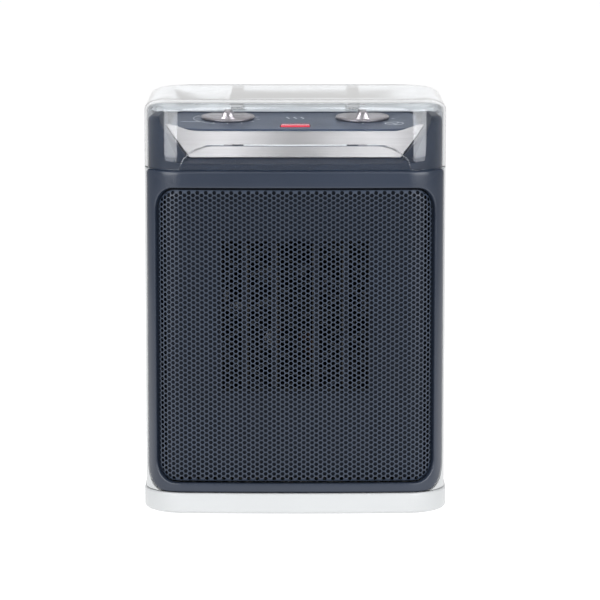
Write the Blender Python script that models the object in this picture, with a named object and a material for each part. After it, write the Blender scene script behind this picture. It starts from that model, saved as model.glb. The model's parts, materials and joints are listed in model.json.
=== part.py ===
"""A small ceramic fan heater: white housing, dark blue front bezel with a honeycomb outlet grille,
a sloping control console with two knobs, and a clear splash cover that hinges up from the rear.

Run with: blender --background --python part.py
Metres, +Z up, front towards -Y. The origin is on the floor, under the middle of the base.
"""

import math

import bmesh
import bpy
from mathutils import Matrix, Vector
from mathutils.geometry import delaunay_2d_cdt

# ---------------------------------------------------------------- driving dimensions
GAP = 0.0004  # clearance kept between neighbouring pieces
WALL = 0.0025  # moulded wall thickness

HALF_WIDTH = 0.1025
FRONT_Y = -0.076
REAR_Y = 0.076
BOW_RADIUS = 1.5  # the front is very slightly crowned
FRONT_CORNER = 0.028
REAR_CORNER = 0.032

BASE_OUTSET = 0.0012  # the base stands proud of the body all round
BASE_BOTTOM = 0.001
BASE_TOP = 0.0152
BODY_TOP = 0.2365  # top edge of the side walls and the bezel, where the cover sits
COVER_TOP = BODY_TOP + 0.0470
SPINE_FRONT = 0.038  # the housing rises to full height behind this plane
SHELF_REAR = 0.053
SHELF_Z = COVER_TOP - 0.0080

BEZEL_HALF = 0.1092  # how far round the corner the bezel reaches, measured along the skin from the middle
BEZEL_BOTTOM = BASE_TOP + GAP
OPENING_HALF = 0.0980  # grille opening, measured along the curved front
OPENING_LOW = 0.0220
OPENING_HIGH = 0.2247
OPENING_CORNER = 0.016
GRILLE_GAP = 0.0016
HOLE_PITCH = 0.0198  # coarse stand-in for a 3.3 mm honeycomb
HOLE_ACROSS = 0.0168

AXIS_Z = 0.135  # fan, heater and outlet window share this centre line
WINDOW_HALF_W = 0.0508
WINDOW_HALF_H = 0.052
RIB_X = (-0.0343, -0.0141, 0.0141, 0.0343)

PANEL_TILT = math.radians(4.5)
PANEL_FRONT = Vector((0, -0.046, BODY_TOP + 0.0261))  # front edge of the control panel's top face
PANEL_HALF = 0.0845
PANEL_DEPTH = 0.080
TRIM_FOOT = Vector((0, -0.062, BODY_TOP + 0.0077))
TRIM_TILT = math.atan2(PANEL_FRONT.z - TRIM_FOOT.z, PANEL_FRONT.y - TRIM_FOOT.y)
CONSOLE_TOP = BODY_TOP + 0.0360
CONSOLE_INSET = 0.0040
KNOB_X = 0.0465
KNOB_BACK = 0.0451  # from the panel's front edge, along its slope
KNOB_RADIUS = 0.0185
SPINDLE_RADIUS = 0.003

HINGE_Y = 0.055
HINGE_Z = COVER_TOP - 0.0035
ARM_X = 0.040
ARM_WIDTH = 0.008
KNUCKLE_RADIUS = 0.0031
HINGE_PIN_RADIUS = 0.0012
PIN_CLEARANCE = 0.0001  # running fit of a pin or shaft in its hole

FAN_RADIUS = 0.047
SHROUD_BORE = 0.0505
SHAFT_RADIUS = 0.0025
INTAKE_HALF_W = 0.074
INTAKE_LOW = 0.062
INTAKE_HIGH = 0.206
PLUNGER_X, PLUNGER_Y = -0.058, 0.030
PLUNGER_RADIUS = 0.004
INLET_X, INLET_Z = 0.062, 0.034

COLOURS = {  # base colour, roughness, metallic
    "white_plastic": ((0.84, 0.85, 0.85), 0.35, 0.0),
    "navy_plastic": ((0.045, 0.058, 0.085), 0.32, 0.0),
    "grille_metal": ((0.06, 0.075, 0.10), 0.45, 0.6),
    "panel_film": ((0.11, 0.13, 0.16), 0.30, 0.0),
    "brushed_trim": ((0.62, 0.60, 0.60), 0.30, 1.0),
    "knob_metal": ((0.55, 0.50, 0.50), 0.30, 1.0),
    "clear_plastic": ((0.90, 0.93, 0.95), 0.05, 0.0),
    "red_lens": ((0.55, 0.03, 0.06), 0.20, 0.0),
    "black_plastic": ((0.02, 0.02, 0.022), 0.50, 0.0),
    "aluminium": ((0.72, 0.73, 0.75), 0.35, 1.0),
    "steel": ((0.55, 0.56, 0.58), 0.35, 1.0),
    "copper": ((0.60, 0.28, 0.14), 0.40, 1.0),
    "rubber": ((0.03, 0.03, 0.03), 0.80, 0.0),
    "filter_mesh": ((0.10, 0.11, 0.12), 0.90, 0.0),
    "ceramic": ((0.70, 0.66, 0.58), 0.60, 0.0),
}


# ---------------------------------------------------------------- building helpers
def clear_scene():
    for obj in list(bpy.data.objects):
        bpy.data.objects.remove(obj)


def material(name):
    found = bpy.data.materials.get(name)
    if found:
        return found
    colour, roughness, metallic = COLOURS[name]
    made = bpy.data.materials.new(name)
    made.use_nodes = True
    shader = made.node_tree.nodes["Principled BSDF"]
    shader.inputs["Base Color"].default_value = (*colour, 1)
    shader.inputs["Roughness"].default_value = roughness
    shader.inputs["Metallic"].default_value = metallic
    return made


def add(name, shape, finish=None, frame=None):
    """Turns a bmesh into a named object. A frame is an empty that the object is parented to."""
    bmesh.ops.recalc_face_normals(shape, faces=shape.faces)
    mesh = bpy.data.meshes.new(name)
    shape.to_mesh(mesh)
    shape.free()
    mesh.shade_smooth()
    mesh.set_sharp_from_angle(angle=math.radians(35))
    obj = bpy.data.objects.new(name, mesh)
    bpy.context.scene.collection.objects.link(obj)
    if finish:
        mesh.materials.append(material(finish))
    if frame:
        obj.parent = frame
    return obj


def cutter(name, shape, frame=None):
    obj = add(name, shape, frame=frame)
    obj.hide_render = True
    obj.display_type = "WIRE"
    return obj


def boolean(obj, tool, operation="DIFFERENCE"):
    modifier = obj.modifiers.new(tool.name, "BOOLEAN")
    modifier.operation = operation
    modifier.solver = "EXACT"
    modifier.object = tool


def axis_frame(name, location, rotation=(0, 0, 0)):
    empty = bpy.data.objects.new(name, None)
    bpy.context.scene.collection.objects.link(empty)
    empty.location = location
    empty.rotation_euler = rotation
    return empty


def loft(rings, closed=False):
    """Skins equal rings of points in order. Open lofts get end caps, closed ones join up."""
    shape = bmesh.new()
    loops = [[shape.verts.new(point) for point in ring] for ring in rings]
    pairs = list(zip(loops, loops[1:]))
    if closed:
        pairs.append((loops[-1], loops[0]))
    for lower, upper in pairs:
        for i in range(len(lower)):
            j = (i + 1) % len(lower)
            shape.faces.new((lower[i], lower[j], upper[j], upper[i]))
    if not closed:
        shape.faces.new(list(reversed(loops[0])))
        shape.faces.new(loops[-1])
    return shape


def box(low, high):
    low, high = Vector(low), Vector(high)
    shape = bmesh.new()
    size = high - low
    place = Matrix.Translation((low + high) / 2) @ Matrix.Diagonal((*size, 1))
    bmesh.ops.create_cube(shape, size=1, matrix=place)
    return shape


def rounded_box(low, high, radius, segments=2):
    shape = box(low, high)
    bmesh.ops.bevel(shape, geom=shape.edges[:], offset=radius, segments=segments, affect="EDGES",
                    profile=0.5, clamp_overlap=True)
    return shape


def lathe(profile, steps=24, place=Matrix.Identity(4)):
    """Turns a profile of (radius, height) round Z. A profile that starts and ends on the axis is solid,
    and any other closes on itself as a ring."""
    solid = profile[0][0] == 0 and profile[-1][0] == 0
    rim = profile[1:-1] if solid else profile
    rings = []
    for radius, height in rim:
        turn = [2 * math.pi * i / steps for i in range(steps)]
        rings.append([Vector((radius * math.cos(a), radius * math.sin(a), height)) for a in turn])
    shape = loft(rings, closed=not solid)
    shape.transform(place)
    return shape


def cylinder(radius, low, high, steps=20, place=Matrix.Identity(4)):
    return lathe([(0, low), (radius, low), (radius, high), (0, high)], steps, place)


def tube(outer, inner, low, high, steps=24, place=Matrix.Identity(4)):
    return lathe([(outer, low), (outer, high), (inner, high), (inner, low)], steps, place)


def along_y(x=0.0, z=0.0):
    """Placement that lays a turned shape's axis along +Y."""
    return Matrix.Translation((x, 0, z)) @ Matrix.Rotation(-math.pi / 2, 4, "X")


def along_x(y, z):
    return Matrix.Translation((0, y, z)) @ Matrix.Rotation(math.pi / 2, 4, "Y")


def prism(outline, low, high):
    return loft([[Vector((x, y, z)) for x, y in outline] for z in (low, high)])


def merged(*shapes):
    """Several separate bmeshes in one, for a cutter with many parts."""
    whole = bmesh.new()
    for shape in shapes:
        mesh = bpy.data.meshes.new("part_of_cutter")
        shape.to_mesh(mesh)
        shape.free()
        whole.from_mesh(mesh)
        bpy.data.meshes.remove(mesh)
    return whole


# ---------------------------------------------------------------- the body's plan shape
BOW_ANGLE = math.asin((HALF_WIDTH - FRONT_CORNER) / (BOW_RADIUS - FRONT_CORNER))
CORNER_Y = FRONT_Y + BOW_RADIUS - (BOW_RADIUS - FRONT_CORNER) * math.cos(BOW_ANGLE)
BOW_LENGTH = BOW_RADIUS * BOW_ANGLE
CORNER_LENGTH = FRONT_CORNER * (math.pi / 2 - BOW_ANGLE)


def skin_point(s, inset, z):
    """The point s metres round the front from its middle, set in by inset from the outer skin."""
    side = math.copysign(1, s)
    s = abs(s)
    if s <= BOW_LENGTH:
        angle = s / BOW_RADIUS
        middle, radius = Vector((0, FRONT_Y + BOW_RADIUS)), BOW_RADIUS
    else:
        angle = BOW_ANGLE + min(s - BOW_LENGTH, CORNER_LENGTH) / FRONT_CORNER
        middle, radius = Vector((HALF_WIDTH - FRONT_CORNER, CORNER_Y)), FRONT_CORNER
    x = middle.x + (radius - inset) * math.sin(angle)
    y = middle.y - (radius - inset) * math.cos(angle)
    y += max(0.0, s - BOW_LENGTH - CORNER_LENGTH)
    return Vector((side * x, y, z))


def skin_length(y):
    """How far round from the front's middle the side reaches depth y."""
    return BOW_LENGTH + CORNER_LENGTH + y - CORNER_Y


def plan(inset, y_end=None, corner_steps=7):
    """Closed plan outline, set in by inset. With y_end it stops there with a straight back."""
    corner = [BOW_LENGTH + CORNER_LENGTH * i / corner_steps for i in range(corner_steps + 1)]
    half = [BOW_LENGTH * i / 2 for i in range(1, 2)] + corner
    right = [skin_point(s, inset, 0) for s in half]
    if y_end is not None:
        right.append(Vector((HALF_WIDTH - inset, y_end, 0)))
    else:
        middle = Vector((HALF_WIDTH - REAR_CORNER, REAR_Y - REAR_CORNER, 0))
        for i in range(6):
            angle = math.pi / 2 * i / 5
            reach = REAR_CORNER - inset
            right.append(middle + Vector((reach * math.cos(angle), reach * math.sin(angle), 0)))
    left = [Vector((-p.x, p.y, 0)) for p in reversed(right)]
    return [(p.x, p.y) for p in [skin_point(0, inset, 0), *right, *left]]


def plan_loft(levels, y_end=None):
    """Skins plan outlines given as (inset, z)."""
    return loft([[Vector((x, y, z)) for x, y in plan(inset, y_end)] for inset, z in levels])


def rounded_outline(half, low, high, low_corner, high_corner):
    """Rounded rectangle in skin coordinates (s, z), anticlockwise, with extra points where the skin turns."""
    points = []

    def edge(end):
        """Positions along a straight edge, close together where the skin turns the corner."""
        turn = [BOW_LENGTH + (end - BOW_LENGTH) * i / 5 for i in range(6)]
        return [-s for s in reversed(turn)] + [-0.036, 0, 0.036] + turn[:-1]

    def corner(s, z, radius, start):
        for i in range(6):
            angle = start + math.pi / 2 * i / 6
            points.append((s + radius * math.cos(angle), z + radius * math.sin(angle)))

    points += [(s, low) for s in edge(half - low_corner)]
    corner(half - low_corner, low + low_corner, low_corner, -math.pi / 2)
    for i in range(4):
        points.append((half, low + low_corner + (high - low - low_corner - high_corner) * i / 4))
    corner(half - high_corner, high - high_corner, high_corner, 0)
    points += [(-s, high) for s in edge(half - high_corner)]
    corner(-half + high_corner, high - high_corner, high_corner, math.pi / 2)
    for i in range(4):
        points.append((-half, high - high_corner - (high - low - low_corner - high_corner) * i / 4))
    corner(-half + low_corner, low + low_corner, low_corner, math.pi)
    return points


def skin_ring(outer, inner, front, back, steps=4):
    """A frame that follows the front skin, between two outlines and two insets."""
    rings = []
    for inset, shares in ((front, range(steps + 1)), (back, range(steps, -1, -1))):
        for i in shares:
            blend = [Vector(a).lerp(Vector(b), i / steps) for a, b in zip(outer, inner)]
            rings.append([skin_point(p.x, inset, p.y) for p in blend])
    return loft(rings, closed=True)


def skin_sheet(outline, holes, front, back):
    """A sheet that follows the front skin, with polygonal holes, between two insets."""
    points = [Vector(p) for p in outline]
    loops = [list(range(len(points)))]
    for hole in holes:
        loops.append(list(range(len(points), len(points) + len(hole))))
        points += [Vector(p) for p in hole]
    filled = delaunay_2d_cdt(points, [], loops, 2, 1e-7)
    flat, triangles = filled[0], filled[2]
    shape = bmesh.new()
    layers = [[shape.verts.new(skin_point(p.x, inset, p.y)) for p in flat] for inset in (front, back)]
    borders = {}
    for triangle in triangles:
        for layer in layers:
            shape.faces.new([layer[i] for i in triangle])
        for a, b in zip(triangle, [*triangle[1:], triangle[0]]):
            borders[frozenset((a, b))] = borders.get(frozenset((a, b)), 0) + 1
    for pair, count in borders.items():
        if count == 1:
            a, b = pair
            shape.faces.new((layers[0][a], layers[0][b], layers[1][b], layers[1][a]))
    return shape


def skin_band(limits, front, back):
    """A solid band that follows the front skin, given as (s, low, high) from left to right, between two insets."""
    return loft([[skin_point(s, front, low), skin_point(s, back, low), skin_point(s, back, high),
                  skin_point(s, front, high)] for s, low, high in limits])




BEZEL_CORNER = 0.020


def bezel_outline():
    return rounded_outline(BEZEL_HALF, BEZEL_BOTTOM, BODY_TOP - GAP, BEZEL_CORNER, 0.002)


def bezel_limits(grow, high):
    """The bezel's extent as (s, low, high) from one side to the other, grown outwards."""
    half, low = BEZEL_HALF + grow, BEZEL_BOTTOM - grow
    right = []
    for i in range(9):
        angle = math.pi / 2 * i / 8
        right.append((half - BEZEL_CORNER * (1 - math.sin(angle)), low + BEZEL_CORNER * (1 - math.cos(angle)), high))
    flat = [(s, low, high) for s in (0, 0.035, 0.066, 0.072, 0.078)]
    right = [p for p in flat if p[0] < right[0][0]] + right
    return [(-s, a, b) for s, a, b in reversed(right[1:])] + right


# ---------------------------------------------------------------- base and housing
FOOT_SPOTS = {"front_left": (-0.074, -0.050), "front_right": (0.074, -0.050),
              "rear_left": (-0.074, 0.050), "rear_right": (0.074, 0.050)}
SCREW_SPOTS = {"front_left": (-0.050, -0.058), "front_right": (0.050, -0.058),
               "rear_left": (-0.050, 0.058), "rear_right": (0.050, 0.058)}
FOOT_RADIUS = 0.008
FOOT_HEIGHT = 0.0034


def make_base():
    rim = WALL - BASE_OUTSET
    base = add("base_tray", plan_loft([
        (BASE_OUTSET, BASE_BOTTOM),
        (-BASE_OUTSET, BASE_BOTTOM + 0.0025),
        (-BASE_OUTSET, BASE_TOP - 0.0008),
        (-BASE_OUTSET + 0.0008, BASE_TOP),
        (rim, BASE_TOP),
        (rim, BASE_BOTTOM + 0.0045),
    ]), "white_plastic")
    holes = [cylinder(PLUNGER_RADIUS + 0.0006, -0.01, 0.02,
                      place=Matrix.Translation((PLUNGER_X, PLUNGER_Y, 0)))]
    for x, y in FOOT_SPOTS.values():
        holes.append(cylinder(FOOT_RADIUS + GAP, -0.01, FOOT_HEIGHT + GAP, 16, Matrix.Translation((x, y, 0))))
    for x, y in SCREW_SPOTS.values():
        place = Matrix.Translation((x, y, 0))
        holes.append(lathe([(0, -0.01), (0.0038, -0.01), (0.0038, 0.0034), (0.0020, 0.0034),
                            (0.0020, 0.02), (0, 0.02)], 16, place))
    boolean(base, cutter("cut_base_holes", merged(*holes)))
    for spot, (x, y) in FOOT_SPOTS.items():
        profile = [(0, 0), (FOOT_RADIUS - 0.0006, 0), (FOOT_RADIUS, 0.0006), (FOOT_RADIUS, FOOT_HEIGHT),
                   (0, FOOT_HEIGHT)]
        add(f"foot_{spot}", lathe(profile, 16, Matrix.Translation((x, y, 0))), "rubber")
    for spot, (x, y) in SCREW_SPOTS.items():
        profile = [(0, 0.0012), (0.0034, 0.0012), (0.0034, 0.0031), (0.0015, 0.0031), (0.0015, 0.0150),
                   (0, 0.0150)]
        add(f"base_screw_{spot}", lathe(profile, 12, Matrix.Translation((x, y, 0))), "steel")


def make_housing():
    """Four walls and a tall rear spine, in one moulding that drops over the base."""
    housing = add("housing_shell", plan_loft([
        (WALL, COVER_TOP - 0.0120),
        (WALL, BASE_TOP + GAP),
        (0, BASE_TOP + GAP),
        (0, COVER_TOP - 0.005),
        (0.0015, COVER_TOP - 0.0022),
        (0.005, COVER_TOP - 0.0008),
    ]), "white_plastic")
    far = 0.2
    boolean(housing, cutter("cut_console_bay", box((-far, -far, BODY_TOP), (far, SPINE_FRONT, far * 2))))
    boolean(housing, cutter("cut_cover_shelf", box((-far, SPINE_FRONT - 0.001, SHELF_Z), (far, SHELF_REAR, far * 2))))
    boolean(housing, cutter("cut_bezel_bay", skin_band(bezel_limits(GAP, BODY_TOP + 0.01), -0.003, WALL + 0.004)))
    slots = [box((sx * ARM_X - 0.0046, SPINE_FRONT - 0.002, SHELF_Z - 0.001),
                 (sx * ARM_X + 0.0046, HINGE_Y + 0.0040, far * 2)) for sx in (-1, 1)]
    boolean(housing, cutter("cut_hinge_slots", merged(*slots)))
    pins = [cylinder(HINGE_PIN_RADIUS + PIN_CLEARANCE, sx * ARM_X - 0.009, sx * ARM_X + 0.009, 12,
                     along_x(HINGE_Y, HINGE_Z)) for sx in (-1, 1)]
    boolean(housing, cutter("cut_pin_holes", merged(*pins)))
    rear = [box((-INTAKE_HALF_W, 0.060, INTAKE_LOW), (INTAKE_HALF_W, 0.09, INTAKE_HIGH)),
            cylinder(0.0075 + GAP, 0.06, 0.09, 16, along_y(INLET_X, INLET_Z))]
    boolean(housing, cutter("cut_rear_openings", merged(*rear)))


def make_rear():
    """Snap-off intake grille with its dust filter, and the bush where a mains lead goes in."""
    low = Vector((-INTAKE_HALF_W + GAP, REAR_Y - WALL, INTAKE_LOW + GAP))
    high = Vector((INTAKE_HALF_W - GAP, REAR_Y, INTAKE_HIGH - GAP))
    grille = add("intake_grille", box(low, high), "white_plastic")
    rows, columns = 12, 3
    pitch_z = (high.z - low.z - 0.010) / rows
    pitch_x = (high.x - low.x - 0.010) / columns
    slots = []
    for row in range(rows):
        for column in range(columns):
            x = low.x + 0.005 + pitch_x * column
            z = low.z + 0.005 + pitch_z * row
            slots.append(box((x + 0.002, 0.06, z + 0.002), (x + pitch_x - 0.002, 0.09, z + pitch_z - 0.002)))
    boolean(grille, cutter("cut_intake_slots", merged(*slots)))
    add("dust_filter", box((low.x + 0.003, low.y - 0.0024, low.z + 0.003),
                           (high.x - 0.003, low.y - GAP, high.z - 0.003)), "filter_mesh")
    add("cord_inlet_bush", lathe([
        (0.0100, REAR_Y + GAP), (0.0100, REAR_Y + 0.0012), (0.0040, REAR_Y + 0.0012), (0.0040, REAR_Y - 0.008),
        (0.0075, REAR_Y - 0.008), (0.0075, REAR_Y + GAP),
    ], 20, along_y(INLET_X, INLET_Z)), "black_plastic")


# ---------------------------------------------------------------- front
def hexagon(s, z, across):
    radius = across / math.sqrt(3)
    return [(s + radius * math.cos(math.radians(60 * i)), z + radius * math.sin(math.radians(60 * i)))
            for i in range(6)]


def inside_opening(s, z, margin):
    half, low, high = OPENING_HALF - margin, OPENING_LOW + margin, OPENING_HIGH - margin
    if abs(s) > half or not low < z < high:
        return False
    corner = OPENING_CORNER
    ds = max(0, abs(s) - half + corner)
    dz = max(0, low + corner - z, z - high + corner)
    return math.hypot(ds, dz) < corner


def honeycomb():
    """Hexagons on a triangular lattice whose columns stand upright, all clear of the grille's edge."""
    middle = (OPENING_LOW + OPENING_HIGH) / 2
    column = HOLE_PITCH * math.sqrt(3) / 2
    found = []
    for i in range(-6, 7):
        for j in range(-6, 7):
            s, z = i * column, middle + (j + 0.5 * (i % 2)) * HOLE_PITCH
            cell = hexagon(s, z, HOLE_ACROSS)
            if all(inside_opening(*corner, GRILLE_GAP + 0.002) for corner in cell):
                found.append(cell)
    return found


def make_front():
    opening = rounded_outline(OPENING_HALF, OPENING_LOW, OPENING_HIGH, OPENING_CORNER, OPENING_CORNER)
    add("front_bezel", skin_ring(bezel_outline(), opening, 0.0, WALL), "navy_plastic")
    edge = rounded_outline(OPENING_HALF - GRILLE_GAP, OPENING_LOW + GRILLE_GAP, OPENING_HIGH - GRILLE_GAP,
                           OPENING_CORNER - GRILLE_GAP, OPENING_CORNER - GRILLE_GAP)
    add("front_grille", skin_sheet(edge, honeycomb(), 0.0006, 0.0018), "grille_metal")

    baffle = add("outlet_baffle", box((-0.088, -0.0610, 0.024), (0.088, -0.0590, BODY_TOP - 0.009)), "navy_plastic")
    edges = sorted([-WINDOW_HALF_W, *[x + 0.0013 for x in RIB_X]])
    windows = []
    for left, right in zip(edges, [x - 0.0013 for x in RIB_X] + [WINDOW_HALF_W]):
        windows.append(box((left, -0.07, AXIS_Z - WINDOW_HALF_H), (right, -0.05, AXIS_Z + WINDOW_HALF_H)))
    boolean(baffle, cutter("cut_outlet_windows", merged(*windows)))


# ---------------------------------------------------------------- control console
def scoop(grow, z_high):
    """The space above the console's sloping floor, between its two cheeks, grown downwards and outwards."""
    heights = [BODY_TOP + rise for rise in (-0.007, 0.011, 0.021, 0.031)] + [z_high]
    front = [(x + grow, z) for x, z in zip((0.082, 0.082, 0.086, 0.092, 0.099), heights)]
    rear = [(x + grow, z) for x, z in zip((0.064, 0.0745, 0.0830, 0.0902, 0.0968), heights)]
    rings = []
    for y, half in ((-0.090, front), (-0.060, rear), (PANEL_FRONT.y + PANEL_DEPTH, rear)):
        right = [Vector((x, y, z)) for x, z in half]
        left = [Vector((-p.x, p.y, p.z)) for p in reversed(right)]
        rings.append(right + left)
    return loft(rings)


def floor_profile(drop):
    """Side view of the console's floor as (y, z): ledge, trim slope, then the panel's seat."""
    panel = Vector((math.cos(PANEL_TILT), math.sin(PANEL_TILT))) * PANEL_DEPTH
    ledge_front = (-0.0735, BODY_TOP + 0.0064)
    return [
        (ledge_front[0], ledge_front[1] - drop),
        (TRIM_FOOT.y + drop * 0.3, TRIM_FOOT.z - drop - 0.0005),
        (PANEL_FRONT.y + drop * 0.8, PANEL_FRONT.z - drop - 0.0005),
        (PANEL_FRONT.y + panel.x + 0.001, PANEL_FRONT.z + panel.y - drop),
    ]


def below_floor(drop, z_low, y_rear):
    """Everything under the console's floor, as wide as the body."""
    line = [(-0.09, floor_profile(drop)[0][1] - 0.010)] + floor_profile(drop)
    line += [(line[-1][0], 0.3), (y_rear, 0.3), (y_rear, z_low), (-0.09, z_low)]
    return loft([[Vector((x, y, z)) for y, z in line] for x in (-0.12, 0.12)])


def console_body(name, inset, drop, grow, y_end, z_low, z_high, finish=None):
    """The console: a block with the plan of the body, whose middle is scooped out down to the floor."""
    edge = 0.004
    body = add(name, plan_loft([(inset, z_low), (inset, z_high - edge), (inset + edge, z_high)], y_end), finish)
    carve = cutter(name + "_scoop", scoop(grow, z_high + 0.02))
    boolean(carve, cutter(name + "_below", below_floor(drop, 0.2, 0.05)))
    boolean(body, carve)
    return body


def make_console():
    console = console_body("control_console", CONSOLE_INSET, 0.0022, 0.0, SPINE_FRONT - GAP,
                           BODY_TOP - 0.0065, CONSOLE_TOP, "navy_plastic")
    hollow = console_body("cut_console_hollow", CONSOLE_INSET + WALL, 0.0022 + WALL, WALL,
                          SPINE_FRONT - WALL, BODY_TOP - 0.0130, CONSOLE_TOP - WALL)
    hollow.hide_render = True
    hollow.display_type = "WIRE"
    boolean(console, hollow)
    return console


def slope_frame():
    """The panel's own frame: X across, Y up its slope, Z out of its face."""
    return axis_frame("panel_frame", PANEL_FRONT, (PANEL_TILT, 0, 0))


def make_panel(console):
    frame = slope_frame()
    thick = 0.0016
    outline = [(-PANEL_HALF, 0.0), (PANEL_HALF, 0.0), (PANEL_HALF, PANEL_DEPTH - 0.022)]
    for i in range(1, 6):
        angle = math.pi / 2 * i / 6
        outline.append((PANEL_HALF - 0.022 * (1 - math.cos(angle)), PANEL_DEPTH - 0.022 * (1 - math.sin(angle))))
    outline.append((PANEL_HALF - 0.022, PANEL_DEPTH))
    outline += [(-x, y) for x, y in reversed(outline[2:])]
    panel = add("control_panel", prism(outline, -thick, 0), "panel_film", frame)
    lens_low, lens_high = (-0.0104, 0.0085), (0.0104, 0.0185)
    holes = [cylinder(0.0058, -0.02, 0.01, 20, Matrix.Translation((sx * KNOB_X, KNOB_BACK, 0))) for sx in (-1, 1)]
    holes.append(box((*lens_low, -0.02), (*lens_high, 0.01)))
    holes = cutter("cut_panel_holes", merged(*holes), frame)
    boolean(panel, holes)
    boolean(console, holes)
    add("indicator_lens", rounded_box((lens_low[0] + GAP, lens_low[1] + GAP, -0.004),
                                      (lens_high[0] - GAP, lens_high[1] - GAP, 0.0008), 0.0006, 1),
        "red_lens", frame)
    lamp = Matrix.Translation((0, 0.0135, -0.0085)) @ Matrix.Rotation(math.pi / 2, 4, "Y")
    add("indicator_lamp", cylinder(0.003, -0.008, 0.008, 12, lamp), "red_lens", frame)

    trim_frame = axis_frame("trim_frame", TRIM_FOOT, (TRIM_TILT, 0, 0))
    rise = (PANEL_FRONT - TRIM_FOOT).length
    right = [(0.0620, 0.0003), (0.0665, 0.0012), (0.0700, 0.0035), (0.0842, rise - 0.0018)]
    left = [(-x, y) for x, y in reversed(right)]
    add("console_trim", prism(right + left, -0.0010, 0.0002), "brushed_trim", trim_frame)
    return frame


def knob_shape():
    """A thin round skirt with a waisted grip bar across it, and a blind bore for the spindle."""
    low = 0.0004
    skirt = lathe([(0, low), (KNOB_RADIUS - 0.0004, low), (KNOB_RADIUS, low + 0.0006),
                   (KNOB_RADIUS - 0.0006, 0.0022), (0, 0.0026)], 36)
    half_long, half_foot, half_top, high = 0.0155, 0.0068, 0.0040, 0.0100
    rings = []
    for z, half, back in ((0.0012, half_foot, 0), (0.0045, half_top + 0.0006, 0.0008), (high, half_top, 0.0018)):
        reach = half_long - back
        ring = [(half, -reach), (half * 0.8, 0), (half, reach), (-half, reach), (-half * 0.8, 0), (-half, -reach)]
        rings.append([Vector((x, y, z)) for x, y in ring])
    return skirt, loft(rings)


def make_controls(panel_frame):
    for name, side in (("thermostat", -1), ("selector", 1)):
        place = Vector((side * KNOB_X, KNOB_BACK, 0))
        knob_frame = axis_frame(f"{name}_axis", place)
        knob_frame.parent = panel_frame
        skirt, grip = knob_shape()
        knob = add(f"{name}_knob", skirt, "knob_metal", knob_frame)
        boolean(knob, cutter(f"{name}_grip", grip, knob_frame), "UNION")
        bore = cutter(f"cut_{name}_bore", cylinder(SPINDLE_RADIUS + 0.0003, -0.01, 0.0078, 16), knob_frame)
        boolean(knob, bore)
        add(f"{name}_spindle", cylinder(SPINDLE_RADIUS, -0.0260, 0.0074, 16), "steel", knob_frame)
        body = add(f"{name}_body", rounded_box((-0.014, -0.012, -0.0235), (0.014, 0.012, -0.0095), 0.0015, 1),
                   "black_plastic", knob_frame)
        neck = cutter(f"{name}_neck", cylinder(0.0054, -0.0120, 0.0002, 20), knob_frame)
        boolean(body, neck, "UNION")
        boolean(body, cutter(f"cut_{name}_neck", cylinder(SPINDLE_RADIUS + PIN_CLEARANCE, -0.03, 0.01, 16), knob_frame))


# ---------------------------------------------------------------- clear cover
def arch_limits():
    """Finger recess in the cover's lower front, as (s, low, high)."""
    low = BODY_TOP - 0.004
    right = [(0, 0.0160), (0.035, 0.0160), (0.0556, 0.0160), (0.0645, 0.0143), (0.0708, 0.0110), (0.0752, 0.0070),
             (0.0772, 0.0032), (0.0778, 0.0)]
    right = [(s, low, BODY_TOP + rise) for s, rise in right]
    return [(-s, a, b) for s, a, b in reversed(right[1:])] + right


def make_cover():
    rest = BODY_TOP + GAP
    inner_top = COVER_TOP - WALL
    cover = add("clear_cover", plan_loft([
        (0, rest),
        (0.0004, COVER_TOP - 0.006),
        (0.0016, COVER_TOP - 0.0024),
        (0.0042, COVER_TOP - 0.0004),
        (0.0120, COVER_TOP),
    ], SHELF_REAR - 0.002), "clear_plastic")
    boolean(cover, cutter("cut_cover_inside", plan_loft([
        (WALL, 0.2),
        (WALL, inner_top - 0.004),
        (WALL + 0.001, inner_top - 0.0012),
        (WALL + 0.004, inner_top),
    ], REAR_Y)))
    far = 0.2
    rear_low = box((-far, SPINE_FRONT - 0.0025, 0.2), (far, far, SHELF_Z + 0.003))
    boolean(cover, cutter("cut_cover_rear", rear_low))
    boolean(cover, cutter("cut_finger_recess", skin_band(arch_limits(), -0.002, 0.0012)))
    arms = []
    for side in (-1, 1):
        x = side * ARM_X
        arms.append(box((x - ARM_WIDTH / 2, -0.058, inner_top - 0.0026), (x + ARM_WIDTH / 2, HINGE_Y, COVER_TOP - 0.0012)))
    boolean(cover, cutter("cover_arms", merged(*arms)), "UNION")
    knuckles = [cylinder(KNUCKLE_RADIUS, side * ARM_X - ARM_WIDTH / 2, side * ARM_X + ARM_WIDTH / 2, 16,
                         along_x(HINGE_Y, HINGE_Z)) for side in (-1, 1)]
    boolean(cover, cutter("cover_knuckles", merged(*knuckles)), "UNION")
    bores = [cylinder(HINGE_PIN_RADIUS + PIN_CLEARANCE, side * ARM_X - 0.01, side * ARM_X + 0.01, 12,
                      along_x(HINGE_Y, HINGE_Z)) for side in (-1, 1)]
    boolean(cover, cutter("cut_cover_bores", merged(*bores)))
    for name, side in (("left", -1), ("right", 1)):
        add(f"cover_pin_{name}", cylinder(HINGE_PIN_RADIUS, side * ARM_X - 0.008, side * ARM_X + 0.008, 12,
                                          along_x(HINGE_Y, HINGE_Z)), "steel")


# ---------------------------------------------------------------- heater and fan
def frame_box(half_w, half_h, wall, y_low, y_high):
    """An open rectangular frame round the fan's centre line."""
    rings = []
    for y, grow in ((y_low, 0), (y_high, 0), (y_high, -wall), (y_low, -wall)):
        w, h = half_w + grow, half_h + grow
        rings.append([Vector((sx * w, y, AXIS_Z + sz * h)) for sx, sz in ((-1, -1), (1, -1), (1, 1), (-1, 1))])
    return loft(rings, closed=True)


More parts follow.
